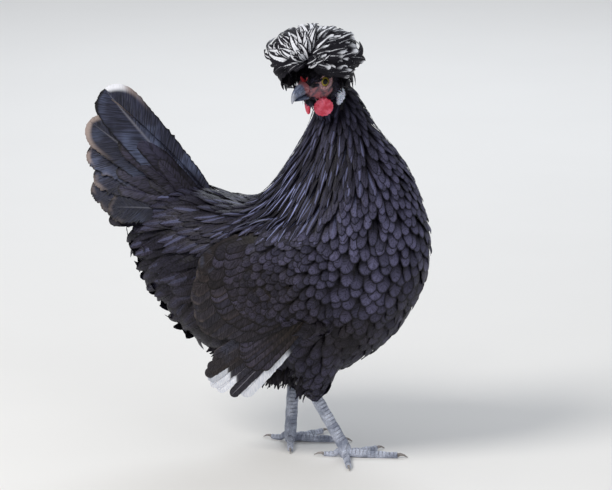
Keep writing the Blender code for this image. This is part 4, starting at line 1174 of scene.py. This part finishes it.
# The crest. A knob on the skull carries a ball of narrow feathers that fan out from one whorl over the
# brow and gather into locks. They are black with white shafts or tips, and looser ones hang beside
# the beak, on the nape and over the whorl.
CREST_CENTRE = np.array((3.0, 0.0, 19.5))
CREST_REACH = np.array((43.0, 43.0, 31.0))
CREST_WHORL = np.array((0.912, 0.332, 0.242))  # direction of the point over the brow that the feathers leave
CREST_LOWEST = math.cos(math.radians(122.0))
CREST_BROW = math.cos(math.radians(98.0))
CREST_FACE_HALF_ANGLE = 62.0
CREST_LOCK_PLUMES = 6  # plumes that gather into one lock
CREST_HANGING = (
    # root, its scatter, fall, its scatter, plumes, width, white: beside the beak, on the nape, over the whorl
    ((10.0, -17.0, -2.0), (6.0, 7.0, 3.0), (-1.0, -2.5, -23.0), 2.2, 84, 5.4, 0.0),
    ((-17.0, 8.0, -7.0), (8.0, 11.0, 4.0), (-4.0, 2.0, -21.0), 2.0, 90, 7.0, 0.0),
    ((29.5, 15.5, 2.0), (1.2, 1.5, 1.5), (-4.0, 11.0, 10.0), 3.5, 18, 4.0, 0.8),
)
CREST_STATIONS = 14
PLUME_BLACK, PLUME_WHITE = (0.012, 0.011, 0.016), (0.78, 0.79, 0.84)
CREST_LAYERS = (
    # degrees from the whorl to the tips, their scatter, plumes, length in degrees, root, tip, width, white
    (35, 12, 44, 34, 0.45, 0.80, 7.0, 0.1),
    (65, 14, 90, 50, 0.45, 0.84, 7.5, 0.1),
    (100, 16, 100, 50, 0.50, 0.84, 7.5, 0.0),
    (145, 18, 90, 50, 0.50, 0.84, 7.5, 0.0),
    (158, 12, 50, 50, 0.62, 0.97, 6.2, 0.45),
    (128, 9, 84, 54, 0.62, 0.98, 6.4, 0.5),
    (98, 9, 90, 56, 0.62, 0.99, 6.4, 0.55),
    (68, 8, 78, 56, 0.58, 0.99, 6.0, 0.8),
    (40, 8, 36, 36, 0.55, 0.95, 5.2, 1.0),
)
chooser = np.random.default_rng(23)
crest_shafts, crest_outs, crest_widths, crest_whites, crest_light, crest_outer = [], [], [], [], [], []
whorl = unit(CREST_WHORL)
whorl_side = unit(np.cross(whorl, (0.0, 0.0, 1.0)))
whorl_up = np.cross(whorl_side, whorl)
for distance, scatter, plumes, span, low, tall, width, whiteness in CREST_LAYERS:
    locks = max(plumes // CREST_LOCK_PLUMES, 1)
    lock_angle = 2 * math.pi / locks
    lock_light = chooser.normal(0, 0.30, locks)
    lock_rise = chooser.normal(0, 0.035, locks)
    for k in range(plumes):
        turned = 2 * math.pi * ((k + chooser.uniform(-0.4, 0.4)) / plumes % 1.0)
        lock = int(turned / lock_angle) % locks
        gather = ((lock + 0.5) * lock_angle - turned) * 0.7
        away = math.radians(np.clip(chooser.normal(distance, scatter), 8, 176))
        spoke = whorl_side * math.cos(turned) + whorl_up * math.sin(turned)
        tip_way = whorl * math.cos(away) + spoke * math.sin(away)
        level = math.degrees(math.atan2(tip_way[1], tip_way[0]))
        lowest = CREST_BROW if abs(level) < CREST_FACE_HALF_ANGLE else CREST_LOWEST
        if tip_way[2] < lowest:
            continue
        first = max(away - math.radians(span * chooser.uniform(0.85, 1.15)), math.radians(4.0))
        drift = chooser.normal(0, 0.16) + 0.22 * math.sin(turned * 3.0 + 0.7)
        reach = chooser.uniform(0.92, 1.0) * tall * (1 + lock_rise[lock])
        shaft = []
        for share in np.linspace(0, 1, CREST_STATIONS):
            here = first + (away - first) * share
            swing = turned + drift * share**2 + gather * share**1.5
            spoke = whorl_side * math.cos(swing) + whorl_up * math.sin(swing)
            radius = low + (reach - low) * (1 - (1 - share) ** 2.4)
            shaft.append((whorl * math.cos(here) + spoke * math.sin(here)) * radius)
        crest_shafts.append(np.array(shaft) * CREST_REACH + CREST_CENTRE)
        crest_outs.append(np.array(shaft) / CREST_REACH)
        crest_widths.append(width * chooser.uniform(0.85, 1.15))
        below = np.clip((0.12 - tip_way[2]) / 0.25, 0, 1)
        light = np.clip(chooser.normal(whiteness * 1.1 + lock_light[lock], 0.15), 0, 1.1) * (1 - below)
        leftward = float(soft_step(tip_way[1], 0.25, 0.65))
        crest_light.append(light * (1 - 0.6 * leftward))
        rearward = max(float(soft_step(away, 1.2, 1.7)), leftward)
        crest_whites.append(float(chooser.random() < 0.85 * rearward * (1 - 0.5 * below) and tall > 0.9))
        crest_outer.append(tall > 0.9)
for root, root_scatter, fall, fall_scatter, plumes, width, whiteness in CREST_HANGING:
    for k in range(plumes):
        start = np.array(root) + np.array(root_scatter) * chooser.uniform(-1, 1, 3)
        drop = np.array(fall) * chooser.uniform(0.7, 1.1) + chooser.normal(0, fall_scatter, 3) * (1, 1, 0.3)
        away_from_head = unit(start * (0.4, 1.0, 0.3))
        share = np.linspace(0, 1, CREST_STATIONS)[:, None]
        crest_shafts.append(start + drop * share + away_from_head * 3.0 * np.sin(share * 2.6) + CREST_CENTRE)
        crest_outs.append(np.tile(away_from_head, (CREST_STATIONS, 1)))
        crest_widths.append(width * chooser.uniform(0.85, 1.15))
        crest_light.append(float(np.clip(chooser.normal(whiteness, 0.1), 0, 1)) if whiteness else 0.0)
        crest_whites.append(0.0)
        crest_outer.append(True)
turn = np.array(HEAD_PLACE)[:3, :3]
crest_shafts = np.array(crest_shafts) @ turn.T + np.array(HEAD_PLACE)[:3, 3]
crest_outs = unit(np.array(crest_outs) @ turn.T)
crest_count = len(crest_shafts)
crest_widths, crest_light = np.array(crest_widths), np.array(crest_light)
crest_whites, crest_outer = np.array(crest_whites), np.array(crest_outer)
crest_tones, crest_points = chooser.random(crest_count), chooser.uniform(0.3, 0.9, crest_count)
crest_rolls = np.radians(chooser.normal(0, 12, crest_count))
crest_finish = look = Finish("crest_plumage", 0.55, Specular_IOR_Level=0.12)
crest_barbs = look.node("ShaderNodeGroup", node_tree=barbs, Fineness=34.0)
streak = crest_barbs.outputs["Streaks"]
core = look.times(look.math("SUBTRACT", 0.85, look.times(look.mark("along"), 0.6)), look.mark("light"))
core = look.math("SUBTRACT", core, look.math("ABSOLUTE", look.mark("across")))
core = look.math("ADD", core, look.times(look.math("SUBTRACT", streak, 0.5), 0.5))
white_end = look.times(look.ramp(look.mark("along"), 0.66, 0.9), look.mark("tipped"))
white_all = look.math("MAXIMUM", look.ramp(core, -0.04, 0.12), white_end)
look.colour(look.mix(white_all, PLUME_BLACK, PLUME_WHITE))
look.bump(crest_barbs.outputs["Height"], 0.0003)
for crest_name, chosen, columns in (("crest_plumes", crest_outer, 3), ("crest_underplumes", ~crest_outer, 2)):
    crest = feathered(
        crest_name, crest_shafts[chosen], crest_outs[chosen], crest_widths[chosen], crest_points[chosen],
        columns, on_unwrap(crest_shafts[chosen, 0]),
        {"tone": crest_tones[chosen], "light": crest_light[chosen], "tipped": crest_whites[chosen]},
        cup=0.15, ragged=0.18, splay=(50.0, 18.0), roll=crest_rolls[chosen], seed=9,
    )
    crest.data.materials.append(crest_finish.material)
    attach(crest, "root")
    if crest_name == "crest_plumes":
        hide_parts("crest")

# The eyes. Each is a wet, glassy ball set behind the lids of the head. A streaked olive-yellow iris
# bulges a little round its black pupil.
EYE_AIM = np.array((0.48, 0.87, 0.04))
EYE_BALL = 5.7
IRIS_RADIUS = 4.2
PUPIL_RADIUS = 2.55
IRIS_BULGE = 0.55
PUPIL_BLACK = (0.003, 0.003, 0.004)
IRIS_COLOURS = ((0.16, 0.12, 0.02), (0.42, 0.34, 0.05))
IRIS_RIM = (0.05, 0.03, 0.02)
for label, side in (("left", 1), ("right", -1)):
    mesh = bpy.data.meshes.new(f"eyeball_{label}")
    bm = bmesh.new()
    bmesh.ops.create_uvsphere(bm, u_segments=48, v_segments=32, radius=EYE_BALL)
    aim = unit(EYE_AIM * (1, side, 1))
    turn_to = Vector((0, 0, 1)).rotation_difference(Vector(aim)).to_matrix()
    for vertex in bm.verts:
        off_axis = math.hypot(vertex.co.x, vertex.co.y)
        if vertex.co.z > 0 and off_axis < IRIS_RADIUS:
            vertex.co.z += IRIS_BULGE * (1 - (off_axis / IRIS_RADIUS) ** 2)
    radii = [math.hypot(v.co.x, v.co.y) if v.co.z > 0 else EYE_BALL for v in bm.verts]
    for vertex in bm.verts:
        vertex.co = HEAD_PLACE @ (turn_to @ vertex.co + Vector(EYE * (1, side, 1))) * MM
    bm.to_mesh(mesh)
    bm.free()
    eye = linked(f"eyeball_{label}", mesh)
    mesh.shade_smooth()
    stored(eye, "off_axis", radii)
    eye_finish = look = Finish(
        f"wet_eye_{label}", 0.4, Specular_IOR_Level=0.04, Coat_Weight=0.3, Coat_Roughness=0.02
    )
    off = look.mark("off_axis")
    rays = look.noise(700.0)
    iris = look.mix(look.ramp(rays, 0.35, 0.65), *IRIS_COLOURS)
    iris = look.mix(look.ramp(off, 3.7, 4.2), iris, IRIS_RIM)
    outside_pupil = look.ramp(off, PUPIL_RADIUS - 0.1, PUPIL_RADIUS + 0.1)
    look.colour(look.mix(outside_pupil, PUPIL_BLACK, iris))
    mesh.materials.append(eye_finish.material)
    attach(eye, "root")
    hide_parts(f"eye_{label}")

# The beak. Grey-blue horn with a painted highlight along the ridge, paler at the tip, and flesh-coloured
# round the nostrils, where it meets the face. Upper and lower beak are separate sheaths of horn.
BEAK_VOXEL = 0.4
HORN_BLUES = ((0.040, 0.050, 0.085), (0.17, 0.20, 0.30))
# Pale horn at the tip, and a painted highlight on the ridge.
HORN_PALE_TIP_AND_HIGHLIGHT = (0.55, 0.56, 0.60)
CERE_RED = (0.26, 0.09, 0.10)
horn_finish = look = Finish("beak_horn", 0.32, Coat_Weight=0.2)
stretch = look.node("ShaderNodeMapping", Scale=(1.0, 0.25, 1.0))
look.link(look.place(), stretch.inputs["Vector"])
lines = look.noise(700.0, 4.0, 0.6, stretch.outputs["Vector"])
horn = look.mix(look.ramp(lines, 0.35, 0.7), *HORN_BLUES)
horn = look.mix(look.mark("pale"), horn, HORN_PALE_TIP_AND_HIGHLIGHT)
horn = look.mix(look.mark("cere"), horn, CERE_RED)
look.colour(horn)
look.bump(lines, 0.00015)
for node_name in ("beak_upper", "beak_lower"):
    beak = remeshed(copied(f"{node_name}_sheath", (node_name,), 0.05), BEAK_VOXEL, 3)
    points, normals = points_of(beak)
    places = head_space(points)
    tip = np.clip((places[:, 0] - 37.0) / 6.0, 0, 1) * 0.8
    # Painted highlight: the top of the ridge is painted paler. The pale tip is the horn's own colour.
    ridge = np.clip((places[:, 2] - (1.5 - 0.02 * (places[:, 0] - 22.0) ** 2)) / 2.0, 0, 1) * 0.55
    stored(beak, "pale", np.clip(np.maximum(tip, ridge), 0, 1))
    stored(beak, "cere", near_ball(places * (1, 0, 1), (22.0, 0.0, -2.0), (4.5, 8.0, 5.0), 0.5))
    beak.data.shade_smooth()
    beak.data.materials.append(horn_finish.material)
    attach(beak, "root")
    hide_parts(node_name)

# The legs. Slate-grey shanks and toes are clad in horny scales: broad scutes down the front and over
# each toe, and small round scales behind. The claws are bare horn.
LEG_VOXEL = 0.6
SCUTE_STEP = 3.4
SCUTE_RISE = 0.32
TOES = ("middle", "inner", "outer", "hind")
SLATES = ((0.26, 0.29, 0.38), (0.66, 0.70, 0.82))
GROOVE_DARK, SCALE_GAP = (0.08, 0.08, 0.11), (0.10, 0.10, 0.13)
CLAW_HORN = ((0.16, 0.14, 0.13), (0.34, 0.31, 0.29))
leg_finish = look = Finish("leg_scales", 0.5)
leg_tone = look.noise(90.0, 4.0)
leg_cells = look.node("ShaderNodeTexVoronoi", feature="DISTANCE_TO_EDGE", Scale=520.0)
look.link(look.place(), leg_cells.inputs["Vector"])
gap = look.ramp(leg_cells.outputs["Distance"], 0.02, 0.14)
slate = look.mix(look.ramp(leg_tone, 0.35, 0.65), *SLATES)
slate = look.mix(look.mark("groove"), slate, GROOVE_DARK)
slate = look.mix(gap, look.mix(0.35, slate, SCALE_GAP), slate)
look.colour(slate)
look.bump(gap, 0.0002)
claw_finish = look = Finish("claw_horn", 0.35)
look.colour(look.mix(look.ramp(look.noise(500.0), 0.3, 0.7), *CLAW_HORN))
for label in ("left", "right"):
    nodes = [f"shank_{label}"] + [f"toe_{label}_{toe}" for toe in TOES]
    leg = remeshed(copied(f"scaled_leg_{label}", nodes, 0.3), LEG_VOXEL, 2)
    points, normals = points_of(leg)
    shank_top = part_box(nodes[0])[1][2] / MM
    high_part = points[points[:, 2] > shank_top - 6].mean(axis=0)
    low_part = points[(points[:, 2] > 16) & (points[:, 2] < 26)].mean(axis=0)
    axis = unit(high_part - low_part)
    along_shank = (points - low_part) @ axis
    out_from_axis = points - low_part - along_shank[:, None] * axis
    on_shank = points[:, 2] > 15.0
    from_ball = np.linalg.norm((points - low_part)[:, :2], axis=1)
    run = np.where(on_shank, along_shank, from_ball)
    front = np.where(on_shank, unit(out_from_axis)[:, 0], normals[:, 2])
    wave = (run / SCUTE_STEP) % 1.0
    profile = np.where(wave < 0.85, wave / 0.85, (1 - wave) / 0.15)
    strength = np.clip(front * 1.6 + 0.2, 0.0, 1.0)
    keep_flat = points[:, 2] < 0.9
    move = normals * (profile * SCUTE_RISE * strength * ~keep_flat)[:, None]
    leg.data.vertices.foreach_set("co", ((points + move) * MM).ravel())
    leg.data.update()
    stored(leg, "groove", np.clip(1 - profile * 3.2, 0, 1) * strength)
    leg.data.shade_smooth()
    leg.data.materials.append(leg_finish.material)
    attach(leg, "root")
    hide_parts(*nodes)
    for toe in TOES:
        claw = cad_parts[f"claw_{label}_{toe}"]
        claw.data.materials.clear()
        claw.data.materials.append(claw_finish.material)
